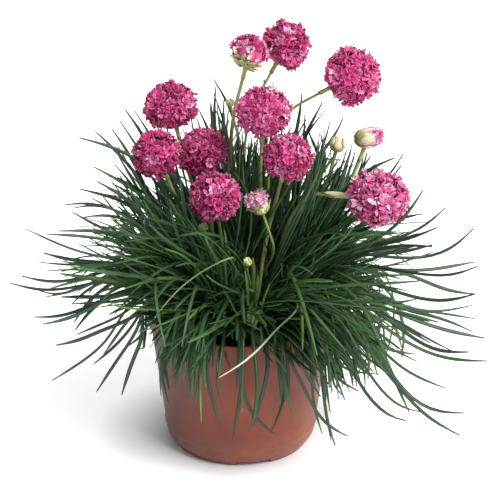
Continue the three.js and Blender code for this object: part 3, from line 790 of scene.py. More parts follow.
def pot_plastic(settings):
    """Satin moulded plastic: clouds and upright streaks a little lighter and darker, painted shade that
    darkens the left side, dust low down, specks and fine scuffs.
    """
    finish = Finish("pot_plastic")
    across, height = (finish.node("SeparateXYZ", axis, {0: finish.place()}) for axis in (0, 2))
    base = finish.clouded(finish.noise(28 * MM, 4), settings, (0.3, 0.52, 0.75))
    base = finish.over(base, settings.pale_color, finish.noise(7 * MM, 3, stretch=(1, 1, 0.12)), 0.22)
    # Painted shade: the left side is darkened towards a dull brown-grey, for the light that falls from the
    # right
    base = finish.over(base, settings.dull_color, finish.spread(across, -10 * MM, -50 * MM, last=0.75))
    dust = finish.math("MULTIPLY", finish.spread(height, 22 * MM, 0), finish.noise(5 * MM, 5))
    base = finish.over(base, settings.dust_color, dust, 0.35)
    base = finish.over(base, settings.speck_color, finish.specks(2.2 * MM, 0.1, 0.03), 0.12)
    rough = finish.spread(finish.noise(9 * MM, 5), first=0.36, last=0.55)
    finish.set(Base_Color=base, Roughness=rough, Specular_IOR_Level=0.35)
    finish.bump(finish.noise(0.9 * MM), 0.06 * MM, 0.6)
    return finish.material


def make_pot(settings):
    """The pot: its turned shell and a floor of six slices, each round its drain hole."""
    angles, gaps = pot_angles()
    parts = Parts()
    parts.add(pot_shell(angles, gaps))
    for number in range(DRAIN_COUNT):
        parts.add(drain_sector(angles, number))
    piece = parts.make("nursery_pot", pot_plastic(settings), ["pot"])
    merge_doubles(piece.data)
    piece.data.set_sharp_from_angle(angle=SHARP_ANGLE)


def soil_finish(settings):
    """Dark crumbly soil: brown and black grains with pale specks of grit."""
    finish = Finish("potting_soil", 0.92)
    base = finish.clouded(finish.noise(2.5 * MM, 6), settings, (0.3, 0.5, 0.72))
    finish.set(Base_Color=finish.over(base, settings.grit_color, finish.specks(3.4 * MM, 0.12, 0.07), 0.4))
    finish.bump(finish.noise(1.1 * MM, 6), 0.5 * MM)
    return finish.material


def make_soil(settings):
    """The soil: a turned body with a top of rings raised by bumps, and crumbs and bark chips lying on it.
    """
    bottom = INNER_FLOOR + SOIL_ROOM
    inner_corner = BASE_CORNER - WALL
    rings = np.concatenate([
        [[6 * MM, bottom], [18 * MM, bottom]],
        corner_arc(CORNER_CENTRE, INNER_FLOOR + inner_corner, inner_corner - SOIL_ROOM, 6),
        [[SOIL_RADIUS - 0.4 * MM, BAND_BOTTOM - 2 * MM]],
    ])
    top_radii = np.linspace(SOIL_RADIUS, 1.2 * MM, 40)
    top = SOIL_MIDDLE + (SOIL_EDGE - 1 * MM - SOIL_MIDDLE) * ramp(top_radii, SOIL_LEVEL, SOIL_RADIUS)
    profile = np.concatenate([rings, np.stack([top_radii, top], axis=-1)])
    angles = TURN * np.arange(120) / 120
    grid = profile[:, None, :1] * circle(angles) + UP * profile[:, None, 1:]
    raised = bumps(grid, 9 * MM, LUMP_SEED) * 0.9 * MM + bumps(grid, 3 * MM, GRAIN_SEED) * 0.55 * MM
    grid[len(rings):, :, 2] += raised[len(rings):]
    ends = np.array([[0, 0, bottom], [0, 0, SOIL_MIDDLE]])
    points = np.concatenate([ends[:1], grid.reshape(-1, 3), ends[1:]])
    parts = Parts()
    parts.add((points, spindle_faces(1, len(profile), len(angles))))
    parts.add(crumbs(settings.crumbs))
    parts.make("soil_fill", soil_finish(settings), ["soil"])


def crumbs(count):
    """Lumps on the soil: short spindles of four sides, each with its own size, turn and lean."""
    draw = np.random.default_rng(CRUMB_SEED)
    radius = SOIL_RADIUS * np.sqrt(draw.uniform(0, 0.93, count))
    middles = circle(draw.uniform(0, TURN, count)) * radius[:, None]
    rise = 1.3 * MM * ramp(radius, SOIL_LEVEL, SOIL_RADIUS)
    middles[:, 2] = SOIL_MIDDLE + rise + draw.uniform(0, 0.8, count) * MM
    headings = circle(draw.uniform(0, TURN, count)) + UP * draw.uniform(-0.3, 0.3, (count, 1))
    lengths = draw.uniform(0.8, 2.6, count) * MM * np.where(draw.uniform(size=count) < 0.12, 2.2, 1)
    steps = np.array([-1, -0.5, 0.5, 1])[None, :, None]
    paths = middles[:, None] + unit(headings)[:, None] * lengths[:, None, None] * steps
    thick = draw.uniform(0.35, 0.8, (count, 1)) * MM * np.array([0.5, 1.2, 1, 0.4])
    return tubes(paths, thick, 5, UP)


def bark(settings):
    """Woody bark: brown and grey in long flakes, rough and cracked."""
    finish = Finish("rootstock_bark", 0.85)
    flakes = finish.noise(4 * MM, 6, stretch=(1, 1, 0.5))
    finish.set(Base_Color=finish.clouded(flakes, settings, (0.3, 0.52, 0.75)))
    finish.bump(finish.noise(1.6 * MM, 6), 0.6 * MM)
    return finish.material


def tuft_places():
    """The middle of each leaf rosette on the crown, the outer ring first."""
    outer = circle(TURN * np.arange(OUTER_TUFTS) / OUTER_TUFTS) * OUTER_CIRCLE
    inner = circle(TURN * (np.arange(INNER_TUFTS) + 0.5) / INNER_TUFTS) * INNER_CIRCLE
    return np.concatenate([outer, inner])


def make_rootstock(settings):
    """The rootstock: a knotted branch from the middle of the crown to each rosette, a taproot and side
    roots.
    """
    parts = Parts()
    places = tuft_places()
    number = np.arange(len(places))[:, None]
    steps = np.linspace(0, 1, 9)
    paths = places[:, None] * (0.1 + 1.02 * steps[:, None]) + UP * CROWN_MIDDLE
    paths[..., 2] += 0.4 * MM * np.sin(steps * 9 + number)
    knots = 1 + 0.12 * np.sin(steps * 14 + 1.7 * number)
    radii = 3.1 * MM * knots * (1 - 0.9 * (np.abs(2 * steps - 1) ** 8))
    parts.add(tubes(paths, radii, 12, UP))
    heights = np.linspace(TAPROOT_TIP, CROWN_TOP - 1 * MM, 18)
    taproot = np.stack([
        0.8 * MM * np.sin(heights / (7 * MM)),
        0.8 * MM * np.cos(heights / (9 * MM)),
        heights,
    ], axis=-1)
    stations = [TAPROOT_TIP, 50 * MM, 72 * MM, CROWN_TOP]
    widths = np.interp(heights, stations, [0.6 * MM, 3.2 * MM, 6.3 * MM, 6.5 * MM])
    parts.add(tubes(taproot[None], widths[None], 14, NORTH))
    number = np.arange(SIDE_ROOTS)[:, None]
    angles = (number[:, 0] + 0.35) * TURN / SIDE_ROOTS
    starts = circle(angles) * 2 * MM + UP * (66 * MM - 4 * MM * number)
    ends = circle(angles + 0.3) * (30 - 2 * number) * MM + UP * (46 * MM - 4 * MM * number)
    side_paths = starts[:, None] + (ends - starts)[:, None] * np.linspace(0, 1, 8)[:, None]
    side_radii = np.broadcast_to(np.linspace(1.9, 0.6, 8) * MM, (SIDE_ROOTS, 8))
    parts.add(tubes(side_paths, side_radii, 8, NORTH))
    parts.make("woody_rootstock", bark(settings), ["rootstock"])


def stem_finish(settings):
    """Smooth pale green stem, more olive in patches, with fine lengthwise lines."""
    finish = Finish("stem_skin", 0.45)
    patches = finish.noise(14 * MM, 3, stretch=(1, 1, 0.4))
    finish.set(Base_Color=finish.clouded(patches, settings, (0.3, 0.5, 0.72)))
    finish.bump(finish.noise(0.7 * MM, 2, stretch=(1, 1, 0.08)), 0.08 * MM)
    return finish.material


def stem_path(flower, base, steps=26):
    """A cubic curve that leaves the crown upright and ends in line with the flower's axis, then a straight
    end.
    """
    straight = flower.stem_top - flower.axis * STRAIGHT_END
    rise = flower.stem_top[2] - base[2]
    turns = [base, base + UP * 0.4 * rise, straight - flower.axis * 0.25 * rise, straight]
    s = np.linspace(0, 1, steps)[:, None]
    weights = [(1 - s) ** 3, 3 * (1 - s) ** 2 * s, 3 * (1 - s) * s ** 2, s ** 3]
    curve = sum(weight * turn for weight, turn in zip(weights, turns))
    ends = straight + (flower.stem_end - straight) * np.linspace(0.15, 1, 7)[:, None]
    return np.concatenate([curve, ends])


def stem_paths():
    """Every flower with its stem's path; the feet stand on a circle in the order of the flowers round the
    axis.
    """
    order = sorted(ALL_FLOWERS, key=lambda flower: math.atan2(flower.middle[1], flower.middle[0]))
    return [(flower, stem_path(flower, flower.base(place, len(order)))) for place, flower in enumerate(order)]


def make_stems(settings):
    """The stems, each a thin tube that narrows a little upwards, wavers and swells slightly under its
    flower.
    """
    material = stem_finish(settings)
    for flower, path in stem_paths():
        share = np.linspace(0, 1, len(path))
        swelling = 1.05 - 0.1 * share + 0.18 * ramp(share, 0.93, 1) + 0.04 * np.sin(share * 21)
        thick = STEM_SHARES.get(flower.label, 1.0) * settings.radius * swelling
        if flower.radius < SMALL_BUD:
            thick = thick * 0.8
        parts = Parts()
        parts.add(tubes(path[None], thick[None], 12, NORTH))
        parts.make(f"scape_{flower.label}", material, [f"flower_stem_{flower.label}"])


# A petal's outline from its claw to its tip: how far out, how wide and how high, as shares of its length
PETAL_ROWS = 5
PETAL_COLUMNS = 5
PETAL_OUT = np.array([0.06, 0.36, 0.68, 0.9, 1.0])
PETAL_HALF_WIDTH = np.array([0.09, 0.25, 0.42, 0.4, 0.18])
PETAL_RISE = np.array([0, 0.27, 0.42, 0.47, 0.46])


def petal_grids(lengths, rises, cups, notches, ruffles):
    """Petals in their own frames: out along X, across Y and up Z. Each is a spoon: its rows follow the
    outline, the sides are raised by the cup times the square of the share across, and the tip's middle is
    drawn in.
    """
    across = np.linspace(-1, 1, PETAL_COLUMNS)
    row = np.linspace(0, 1, PETAL_ROWS)[:, None]
    column = [values[:, None, None] for values in (lengths, rises, cups, notches, ruffles)]
    length, rise, cup, notch, ruffle = column
    out = PETAL_OUT[:, None] - notch * (1 - across ** 2) * row ** 6 - 0.08 * across ** 2 * row ** 3
    side = PETAL_HALF_WIDTH[:, None] * across * np.ones_like(length)
    high = rise * PETAL_RISE[:, None] + cup * across ** 2 * PETAL_HALF_WIDTH[:, None]
    high = high + 0.09 * row * np.sin(3.1 * math.pi * across + ruffle)
    return np.stack([out * length, side * length, high * length], axis=-1)


def florets(directions, throats, radii, tilts, seed):
    """Five petals round each floret, which sits on the head's surface and leans a little from straight out.
    """
    draw = np.random.default_rng(seed)
    count = len(directions)
    axes = unit(directions + draw.normal(0, 1, (count, 3)) * tilts[:, None])
    side, lift = square_to(axes, unit(SKEW))
    angles = draw.uniform(0, TURN, (count, 1)) + TURN * np.arange(5) / 5 + draw.normal(0, 0.09, (count, 5))
    petals = count * 5
    grids = petal_grids(
        np.repeat(radii, 5) * draw.uniform(0.85, 1.12, petals),
        draw.uniform(0.35, 1.6, petals),
        draw.uniform(0.15, 0.85, petals),
        draw.uniform(0.0, 0.22, petals),
        draw.uniform(0, TURN, petals),
    ).reshape(count, 5, PETAL_ROWS, PETAL_COLUMNS, 3)
    outward = spokes(side[:, None], lift[:, None], angles)
    sideways = np.cross(axes[:, None], outward)
    world = throats[:, None, None, None] + (
        grids[..., :1] * outward[:, :, None, None]
        + grids[..., 1:2] * sideways[:, :, None, None]
        + grids[..., 2:] * axes[:, None, None, None]
    )
    return world.reshape(petals, PETAL_ROWS, PETAL_COLUMNS, 3), axes


# The petals' strips: the tones from deep to pale, then the florets' tubes and the head's core
PETAL_VARIANTS = 26
TUBE_VARIANT = 28
CORE_VARIANT = 30


def spread_directions(flower, count, widest):
    """Directions spread evenly over a cap of the sphere round the flower's face, in steps of the golden
    turn.
    """
    k = np.arange(count)
    cosine = 1 - (1 - math.cos(widest)) * (k + 0.5) / count
    sine = np.sqrt(1 - cosine ** 2)
    side, lift = square_to(flower.face, NORTH)
    ring = spokes(side, lift, GOLDEN_TURN * k + float(flower.label))
    return ring * sine[:, None] + flower.face * cosine[:, None]


def head_core(flower, share, variant):
    """The head's middle, a bumpy ball of the florets' massed tubes: rings at even steps of the half turn.
    """
    steps = np.linspace(0.06, 0.94, CORE_RINGS) * math.pi
    path = flower.middle + flower.face * (-np.cos(steps) * flower.radius * share)[:, None]
    radii = np.sin(steps) * flower.radius * share
    surface, faces = tubes(path[None], radii[None], CORE_SIDES, NORTH)
    raised = bumps(surface, 3 * MM, CORE_SEED) * 0.6 * MM
    surface = surface + unit(surface - flower.middle) * raised[:, None]
    return (surface, faces), spindle_map(CORE_RINGS, halfway_round(CORE_SIDES), np.array([variant]))


def petal_finish(settings):
    """Thin matte petals: deep magenta at the claw, pink on the blade, pale at the margin, with fine veins.
    Each variant is lighter or darker; the last strips are for the florets' tubes and the head's core.
    """
    finish = Finish("pink_petals", 0.7)
    variant, across, along, place = finish.strip()
    blade = finish.ramp(finish.math("DIVIDE", variant, PETAL_VARIANTS), [
        (0.0, settings.deep_color), (0.4, settings.color),
        (0.75, settings.pink_color), (1.0, settings.pale_color),
    ])
    claw = finish.ramp(along, [(0.05, (1, 1, 1)), (0.5, (0, 0, 0))])
    blade = finish.over(blade, settings.deep_color, claw, 0.75)
    blade = finish.over(blade, settings.pale_color, finish.margin(across, along, 0.25, 0.45, 0.72), 0.27)
    veins = finish.noise(0.06, 3, place, (1, 0.07, 1))
    blade = finish.over(blade, settings.deep_color, finish.spread(veins, 0.5, 0.72, last=0.35))
    blade = finish.shaded(blade, finish.spread(finish.noise(0.5, 3, place), first=0.75, last=1.25))
    tube = finish.ramp(along, [(0, settings.tube_color), (0.7, settings.throat_color)])
    blade = finish.over(blade, tube, finish.at_least(variant, TUBE_VARIANT))
    core = finish.ramp(veins, [(0.3, settings.core_color), (0.7, settings.core_pale_color)])
    blade = finish.over(blade, core, finish.at_least(variant, CORE_VARIANT))
    finish.set(Base_Color=blade, Specular_IOR_Level=0.2)
    finish.set(Subsurface_Weight=0.25, Subsurface_Scale=1.6 * MM)
    finish.bump(veins, 0.06 * MM, 0.8)
    return finish.material


# How far from its face a flower's florets spread, the size of its core and the core's strip, by kind
OPENNESS = {"full": 2.3, "half": 1.5, "opening": 0.92, "budding": 0.8}
CORE_SHARES = {"full": 0.62, "half": 0.72, "opening": 0.8}
CORE_VARIANTS = {"full": CORE_VARIANT, "half": 17, "opening": 22}
PALE_CORE = {"09": 12}


def make_heads(settings):
    """The flower heads: florets spread over a ball from its crown to below its middle, on thin tubes."""
    material = petal_finish(settings)
    for flower in HEADS:
        parts = Parts()
        add_florets(parts, flower, settings)
        inner = PALE_CORE.get(flower.label, CORE_VARIANTS[flower.kind])
        parts.add(*head_core(flower, CORE_SHARES[flower.kind], inner))
        parts.slim(flower)
        node = f"flower_head_{flower.label}"
        parts.make(f"floret_head_{flower.label}", material, [node], mapped=True)


def flattened(directions, flower):
    """Directions with a smaller share along the flower's face: a head is wider than it is high."""
    share = 1 - FLATNESS.get(flower.label, HEAD_FLATNESS)
    return directions - flower.face * (share * (directions @ flower.face))[:, None]


def add_florets(parts, flower, settings):
    """The florets of one head: as many as its area holds, at a distance from its middle that is a little
    uneven. Their petals are darker and paler in patches; a tube leads out to each from half way.
    """
    draw = np.random.default_rng(FLORET_SEED + flower.number)
    widest = OPENNESS[flower.kind]
    area = TURN * flower.radius ** 2 * (1 - math.cos(widest))
    scale = FLORET_SCALES.get(flower.label, 1.0) * (1.0 if flower.kind == "full" else YOUNG_SCALE)
    count = max(7, round(area / settings.floret_area / max(1, scale ** 1.6)))
    directions = spread_directions(flower, count, widest)
    ways = flattened(directions, flower)
    uneven = np.clip(draw.normal(0, 0.7 * MM, count), -0.9 * MM, 0.8 * MM)
    lift = LIFTS.get(flower.label, 0.81) * flower.radius + uneven
    throats = flower.middle + ways * lift[:, None]
    radii = settings.floret_radius * scale * draw.uniform(0.85, 1.12, count)
    tilts = draw.uniform(0.1, 0.42, count)
    grids, axes = florets(directions, throats, radii, tilts, PETAL_SEED + flower.number)
    paleness = PALENESS.get(flower.label, 0)
    patch = PATCH_CONTRAST * bumps(throats, PATCH_SIZE, PATCH_SEED) + draw.normal(0, 0.13, count)
    patch = patch * (1 - 2 * paleness ** 2) + paleness
    if flower.kind != "full":
        patch = patch + 0.45 * ramp(-(directions @ flower.face), -0.65, -0.15)
    tone = 0.4 + np.repeat(patch, 5) + draw.normal(0, 0.1, len(grids))
    variants = (np.clip(tone, 0, 1) * (PETAL_VARIANTS - 1)).astype(int)
    parts.add(lenses(grids, settings.petal_thickness), lens_map(variants, PETAL_ROWS, PETAL_COLUMNS))
    roots = flower.middle + ways * flower.radius * 0.5
    tops = throats + axes * 0.35 * MM
    paths = roots[:, None] + (tops - roots)[:, None] * np.linspace(0, 1, 4)[:, None]
    widths = np.broadcast_to(np.array([0.5, 0.6, 0.75, 0.5]) * MM, (count, 4))
    parts.add(tubes(paths, widths, 6, SKEW), spindle_map(4, halfway_round(6), np.full(count, TUBE_VARIANT)))


SCALE_ROWS = 6
SCALE_COLUMNS = 5
SCALE_HALF_WIDTH = np.array([0.5, 0.88, 1.0, 0.86, 0.5, 0.1])


def scales(flower, count, low, high, spans, widths, radius, flares, seed):
    """Papery scales that hug a ball round the flower's axis. A scale's rows climb from one angle off the
    axis' foot to another, its columns go round it, and its tip flares away from the ball.
    """
    draw = np.random.default_rng(seed)
    side, lift = square_to(flower.face, NORTH)
    number = np.arange(count)
    turns = GOLDEN_TURN * number + draw.normal(0, 0.1, count)
    rise = np.linspace(0, 1, SCALE_ROWS)[:, None]
    across = np.linspace(-1, 1, SCALE_COLUMNS)
    first = (low + (high - low) * number / max(1, count - 1))[:, None, None]
    climb = first + (spans * draw.uniform(0.85, 1.15, count))[:, None, None] * rise
    climb = climb - 0.04 * across ** 2 * rise
    half = (widths * draw.uniform(0.85, 1.1, count))[:, None, None] * SCALE_HALF_WIDTH[:, None]
    around = turns[:, None, None] + half * across / np.maximum(np.sin(climb), 0.32)
    out = radius * (1 + 0.012 * number[:, None, None] / max(1, count))
    out = out + (flares * draw.uniform(0.4, 1.6, count))[:, None, None] * rise ** 3
    out = out - 0.05 * radius * across ** 2
    out = out + 0.03 * radius * np.sin(5 * across + draw.uniform(0, TURN, (count, 1, 1))) * rise
    ball = spokes(side, lift, around) * np.sin(climb)[..., None] - flower.face * np.cos(climb)[..., None]
    return flower.middle + ball * out[..., None]


# The scales' strips: tones from brown over straw and green to cream, then the first petals of an opening
# bud
PINK_VARIANT = 29
SHEATH_VARIANT = 17
OLD_TONES = (3, 14)
CREAM_TONES = (20, 28)

# The rows of scales round each kind of flower: how many, the angles off the foot at which the first and the
# last start, a scale's length and width as angles, the ball's share of the radius, how far the tips flare
# in millimetres, and the range of tones
SCALE_TABLE = {
    "full": (
        (11, 0.06, 0.3, 0.5, 0.2, 0.8, 0.5, OLD_TONES),
        (9, 0.3, 0.4, 0.42, 0.2, 0.77, 1.2, OLD_TONES),
    ),
    "half": (
        (12, 0.1, 0.6, 0.7, 0.3, 0.84, 2.4, (10, 17)),
        (14, 0.6, 0.9, 0.46, 0.2, 0.82, 2.0, (12, 20)),
        (18, 1.05, 1.2, 0.3, 0.14, 0.86, 1.0, (16, 31)),
    ),
    "opening": (
        (8, 0.1, 0.7, 0.9, 0.6, 0.9, 0.1, (8, 16)),
        (9, 0.9, 1.2, 0.95, 0.5, 0.9, 0.3, (23, 29)),
        (10, 1.5, 1.9, 0.5, 0.26, 0.9, 1.2, (24, 32)),
    ),
    "budding": (
        (8, 0.1, 0.7, 0.9, 0.6, 0.95, 0.2, (6, 18)),
        (5, 0.9, 1.3, 0.7, 0.4, 0.94, 1.8, CREAM_TONES),
    ),
    "closed": (
        (6, 0.1, 0.5, 1.1, 0.85, 1, 0.05, (13, 18)),
        (6, 0.9, 1.4, 1.2, 0.8, 0.97, 0.05, CREAM_TONES),
    ),
    "green": (
        (6, 0.1, 0.5, 1.1, 0.85, 1, 0.05, (13, 18)),
        (6, 0.9, 1.4, 1.2, 0.8, 0.97, 0.05, (14, 21)),
    ),
    "brown": (
        (6, 0.1, 0.5, 1.1, 0.85, 1, 0.05, OLD_TONES),
        (6, 0.9, 1.4, 1.2, 0.8, 0.97, 0.05, OLD_TONES),
    ),
}


def bract_finish(settings):
    """Papery bracts: straw with a green or brown middle, a thin pale margin and fine lengthwise lines."""
    finish = Finish("papery_bracts", 0.6)
    variant, across, along, place = finish.strip()
    base = finish.ramp(finish.math("DIVIDE", variant, VARIANTS), [
        (0.0, settings.brown_color), (0.25, settings.straw_color), (0.5, settings.green_color),
        (0.75, settings.cream_color), (0.9, settings.rosy_color),
    ])
    base = finish.over(base, settings.pale_color, finish.margin(across, along, 0.26, 0.46, 0.7), 0.5)
    lines = finish.noise(0.07, 4, place, (1, 0.06, 1))
    base = finish.over(base, settings.brown_color, finish.spread(lines, 0.5, 0.75, last=0.45), 0.7)
    tints = finish.noise(0.4, 2, place)
    petal = finish.ramp(tints, [(0.35, settings.petal_color), (0.65, settings.blush_color)])
    finish.set(Base_Color=finish.over(base, petal, finish.at_least(variant, PINK_VARIANT)))
    finish.bump(lines, 0.1 * MM)
    return finish.material


def sheath(flower):
    """The torn papery sheath round the top of the stem: a thin open sleeve with an uneven lower edge. Its
    rings go down outside and up again inside, and the top ones reach up into the flower with the stem's
    end.
    """
    top = flower.stem_top + flower.axis * 0.4 * MM
    deeper = np.linalg.norm(flower.stem_end - top)
    side, lift = square_to(flower.axis, NORTH)
    angles = TURN * np.arange(20) / 20
    is_long = flower.label == LONG_SHEATH
    torn = (0.35 if is_long else 0.14) * np.sin(3 * angles + float(flower.label)) * np.cos(5 * angles)
    ragged = (LONG_SHEATH_LENGTH if is_long else SHEATH_LENGTH) * (0.86 + torn)
    down = np.array([0, 0.3, 0.7, 1, 1, 0.7, 0.3, 0])[:, None]
    radius = np.array([1.55, 1.3, 1.34, 1.42, 1.28, 1.18, 1.15, 1.2])[:, None] * MM
    if is_long:
        radius = radius * (1 + 0.9 * down * (1.25 - down))
    sunk = np.where(down == 0, deeper, 0)
    fall = (down * ragged - sunk)[..., None]
    rings = top + spokes(side, lift, angles) * radius[..., None] - flower.axis * fall
    index = np.arange(rings[..., 0].size).reshape(rings.shape[:2])
    outward = [0, 3, 2, 1]
    quads = bands(np.concatenate([index, index[:1]]))[:, outward]
    along = np.array([0, 0.2, 0.4, 0.6, 0.65, 0.45, 0.25, 0.05])
    places = np.stack(np.broadcast_arrays(halfway_round(len(angles)), along[:, None]), axis=-1)
    variant = np.array([SHEATH_VARIANT + 4 * is_long])
    return (rings.reshape(-1, 3), [quads]), strips(places.reshape(-1, 2), variant)


def add_scales(parts, flower, first_seed):
    """The rows of scales round a flower, by its kind, each scale in a tone of its row's range."""
    for row, (count, low, high, span, width, share, flare, tones) in enumerate(SCALE_TABLE[flower.kind]):
        seed = first_seed + ROW_SEED * row + flower.number
        grids = scales(flower, count, low, high, span, width, share * flower.radius, flare * MM, seed)
        variants = np.random.default_rng(seed + TONE_SEED).integers(*tones, count)
        parts.add(lenses(grids, SCALE_THICKNESS), lens_map(variants, SCALE_ROWS, SCALE_COLUMNS))


def make_bract_cups(settings):
    """The cups under the open heads: overlapping papery scales that hug the head's underside, and the
    sheath.
    """
    material = bract_finish(settings)
    for flower in HEADS:
        parts = Parts()
        add_scales(parts, flower, CUP_SEED)
        if flower.kind == "opening":
            parts.slim(flower)
        parts.add(*sheath(flower))
        node = f"bract_cup_{flower.label}"
        parts.make(f"bracts_{flower.label}", material, [node], mapped=True)


def add_bud_petals(parts, flower):
    """The first few florets of an opening bud, in the scales' own finish."""
    draw = np.random.default_rng(BUD_PETAL_SEED)
    count = 18
    directions = spread_directions(flower, count, OPENNESS[flower.kind] + 0.2)
    throats = flower.middle + directions * (1.12 * flower.radius)
    radii = draw.uniform(2.7, 3.9, count) * MM
    grids, _ = florets(directions, throats, radii, draw.uniform(0.1, 0.5, count), BUD_PETAL_SEED + 1)
    variants = draw.integers(PINK_VARIANT - 1, VARIANTS, len(grids))
    parts.add(lenses(grids, BUD_PETAL_THICKNESS), lens_map(variants, PETAL_ROWS, PETAL_COLUMNS))


def make_buds(settings):
    """The small buds: overlapping scales round a core; the one that is opening shows its first florets."""
    material = bract_finish(settings)
    for flower in BUDS:
        parts = Parts()
        parts.add(*head_core(flower, 0.86, CREAM_TONES[0]))
        add_scales(parts, flower, BUD_SEED)
        if flower.kind == "budding":
            add_bud_petals(parts, flower)
        parts.slim(flower)
        parts.make(f"bud_{flower.label}", material, [f"flower_bud_{flower.label}"], mapped=True)


def leaf_finish(settings):
    """Narrow satin leaves: deep, grey and fresh greens by variant, in faint clouds, with a darker groove, a
    pale foot and some dry tips; then by variant the yellowish, the light, the withered and the bleached
    ones. The bleached leaf is green at its foot.
    """
    finish = Finish("leaf_skin", 0.42)
    variant, across, along, place = finish.strip()
    green = finish.ramp(finish.math("DIVIDE", variant, YELLOW_VARIANT), [
        (0.0, settings.deep_color), (0.4, settings.color),
        (0.75, settings.blue_color), (1.0, settings.fresh_color),
    ])
    clouds = finish.noise(0.35, 3, place, (1, 3, 1))
    green = finish.shaded(green, finish.spread(clouds, first=0.6, last=1.4))
    groove = finish.spread(finish.from_middle(across), 0.12, 0, last=0.3)
    green = finish.over(green, settings.deep_color, groove)
    foot = finish.ramp(along, [(0.0, (1, 1, 1)), (0.16, (0, 0, 0))])
    green = finish.over(green, settings.base_color, foot, 0.6)
    green = finish.over(green, settings.yellow_color, finish.at_least(variant, YELLOW_VARIANT), 0.8)
    green = finish.over(green, settings.light_color, finish.at_least(variant, LIGHT_VARIANT), 0.75)
    dry_from = finish.spread(finish.chance(variant, 11.5), 0.85, 1, 1.02, 0.95)
    green = finish.over(green, settings.dry_color, finish.math("GREATER_THAN", along, dry_from), 0.35)
    bleached = finish.at_least(variant, STRAW_VARIANT)
    faded = finish.math("MULTIPLY", bleached, finish.spread(along, 0.55, 0.78))
    still_green = finish.math("SUBTRACT", bleached, faded)
    withered = finish.math("SUBTRACT", finish.at_least(variant, DEAD_VARIANT), still_green)
    lines = finish.noise(0.09, 3, place, (1, 0.05, 1))
    straw = finish.ramp(lines, [(0.3, settings.withered_color), (0.7, settings.dry_color)])
    green = finish.over(green, straw, withered, 0.95)
    green = finish.over(green, settings.straw_color, faded, 0.85)
    finish.set(Base_Color=green, Roughness=finish.spread(clouds, first=0.34, last=0.52))
    finish.bump(lines, 0.05 * MM)
    return finish.material


# The leaves' strips: greens, then the yellowish, light and dead leaves, the shoots and the bleached leaf
DARK_VARIANTS = (0, 8)
YELLOW_VARIANT = 25
LIGHT_VARIANT = 27
DEAD_VARIANT = 28
SHOOT_VARIANT = 30
STRAW_VARIANT = 31


def smooth_line(knots, steps):
    """A line through the knots: a natural cubic spline over the distance along them, cut in even steps."""
    gaps = np.linalg.norm(np.diff(knots, axis=0), axis=1)
    at = np.concatenate([[0], np.cumsum(gaps)])
    count = len(knots)
    matrix = np.eye(count)
    inner = np.arange(1, count - 1)
    matrix[inner, inner - 1] = gaps[:-1] / 6
    matrix[inner, inner] = (gaps[:-1] + gaps[1:]) / 3
    matrix[inner, inner + 1] = gaps[1:] / 6
    slopes = np.diff(knots, axis=0) / gaps[:, None]
    bends = np.zeros((count, 3))
    bends[1:-1] = np.diff(slopes, axis=0)
    bends = np.linalg.solve(matrix, bends)
    t = np.linspace(0, at[-1], steps)
    k = np.clip(np.searchsorted(at, t) - 1, 0, count - 2)
    b = ((t - at[k]) / gaps[k])[:, None]
    a = 1 - b
    bent = ((a ** 3 - a) * bends[k] + (b ** 3 - b) * bends[k + 1]) * (gaps[k] ** 2)[:, None] / 6
    return a * knots[k] + b * knots[k + 1] + bent


def clear_of_pot(lines):
    """Leaf lines kept off the pot. Near the rim a point goes to the nearer of its two sides, up over the
    rim or out beside it; inside the pot no point goes lower than the soil. Smoothing between the rounds
    takes out kinks.
    """
    high = POT_HEIGHT + ROOM_ABOVE_RIM
    wide = RIM_RADIUS + ROOM_BESIDE_RIM
    cleared = lines.copy()
    for smoothing in (0.5, 0.5, 0.35, 0.0):
        radius = np.hypot(cleared[..., 0], cleared[..., 1])
        up = high - cleared[..., 2]
        out = wide - radius
        near = (up > 0) & (out > 0) & (radius > RIM_RADIUS - 8 * MM)
        push = near & (out < up)
        cleared[..., :2] *= np.where(push, wide / np.maximum(radius, MM), 1)[..., None]
        raised = np.where(near & ~push, high, cleared[..., 2])
        inside = ~near & (radius <= RIM_RADIUS)
        raised = np.where(inside, np.maximum(raised, SHOOT_BASE), raised)
        cleared[..., 2] = np.maximum(raised, LOWEST_LEAF)
        between = (cleared[:, :-2] + cleared[:, 2:]) / 2
        cleared[:, 1:-1] += (between - cleared[:, 1:-1]) * smoothing
    return cleared


def leaves(lines, widths, twists, facing=None):
    """Leaves along lines (copies, rings, 3) whose upper sides face up, or one given way. Across the line
    each is a shallow channel: two edges, a sunken middle above and a keel below; it keeps its width for
    most of its length and ends in a blunt tip.
    """
    copies, rings, _ = lines.shape
    along = unit(np.gradient(lines, axis=1))
    if facing is None:
        heading = (lines[:, -1] - lines[:, 0]) * np.array([1, 1, 0])
        flat = np.cross(UP, heading + 1e-6)[:, None]
        side = unit(flat - along * (flat * along).sum(-1, keepdims=True))
    else:
        side = unit(np.cross(facing, along))
    share = np.linspace(0, 1, rings)
    side = turned_about(side, along, twists[:, None] * share)
    lift = np.cross(along, side)
    taper = (0.75 + 0.25 * ramp(share, 0, 0.2)) * (1 - 0.6 * ramp(share, 0.86, 1.0))
    half, deep, keel = ((widths[:, None] * part * taper)[..., None] for part in (0.5, 0.12, 0.34))
    corners = [lines + side * half, lines - lift * deep, lines - side * half, lines - lift * keel]
    body = np.stack(corners, axis=2).reshape(copies, -1, 3)
    tips = lines[:, -1:] + along[:, -1:] * LEAF_POINT
    points = np.concatenate([lines[:, :1], body, tips], axis=1)
    return points.reshape(-1, 3), spindle_faces(copies, rings, 4)


def leaf_map(rings, variants):
    """Map places of leaves: both sides of a leaf share its strip, across it and from foot to tip."""
    return spindle_map(rings, np.array([1, 0.5, 0, 0.5]), variants, 0.02)


def depth_round(pixel, radius):
    """The depth at which a pixel's ray stands at a radius from the pot's axis, on the near side."""
    across = place_at(pixel, -60 * MM)[0]
    return -math.sqrt(max(radius ** 2 - across ** 2, (25 * MM) ** 2))


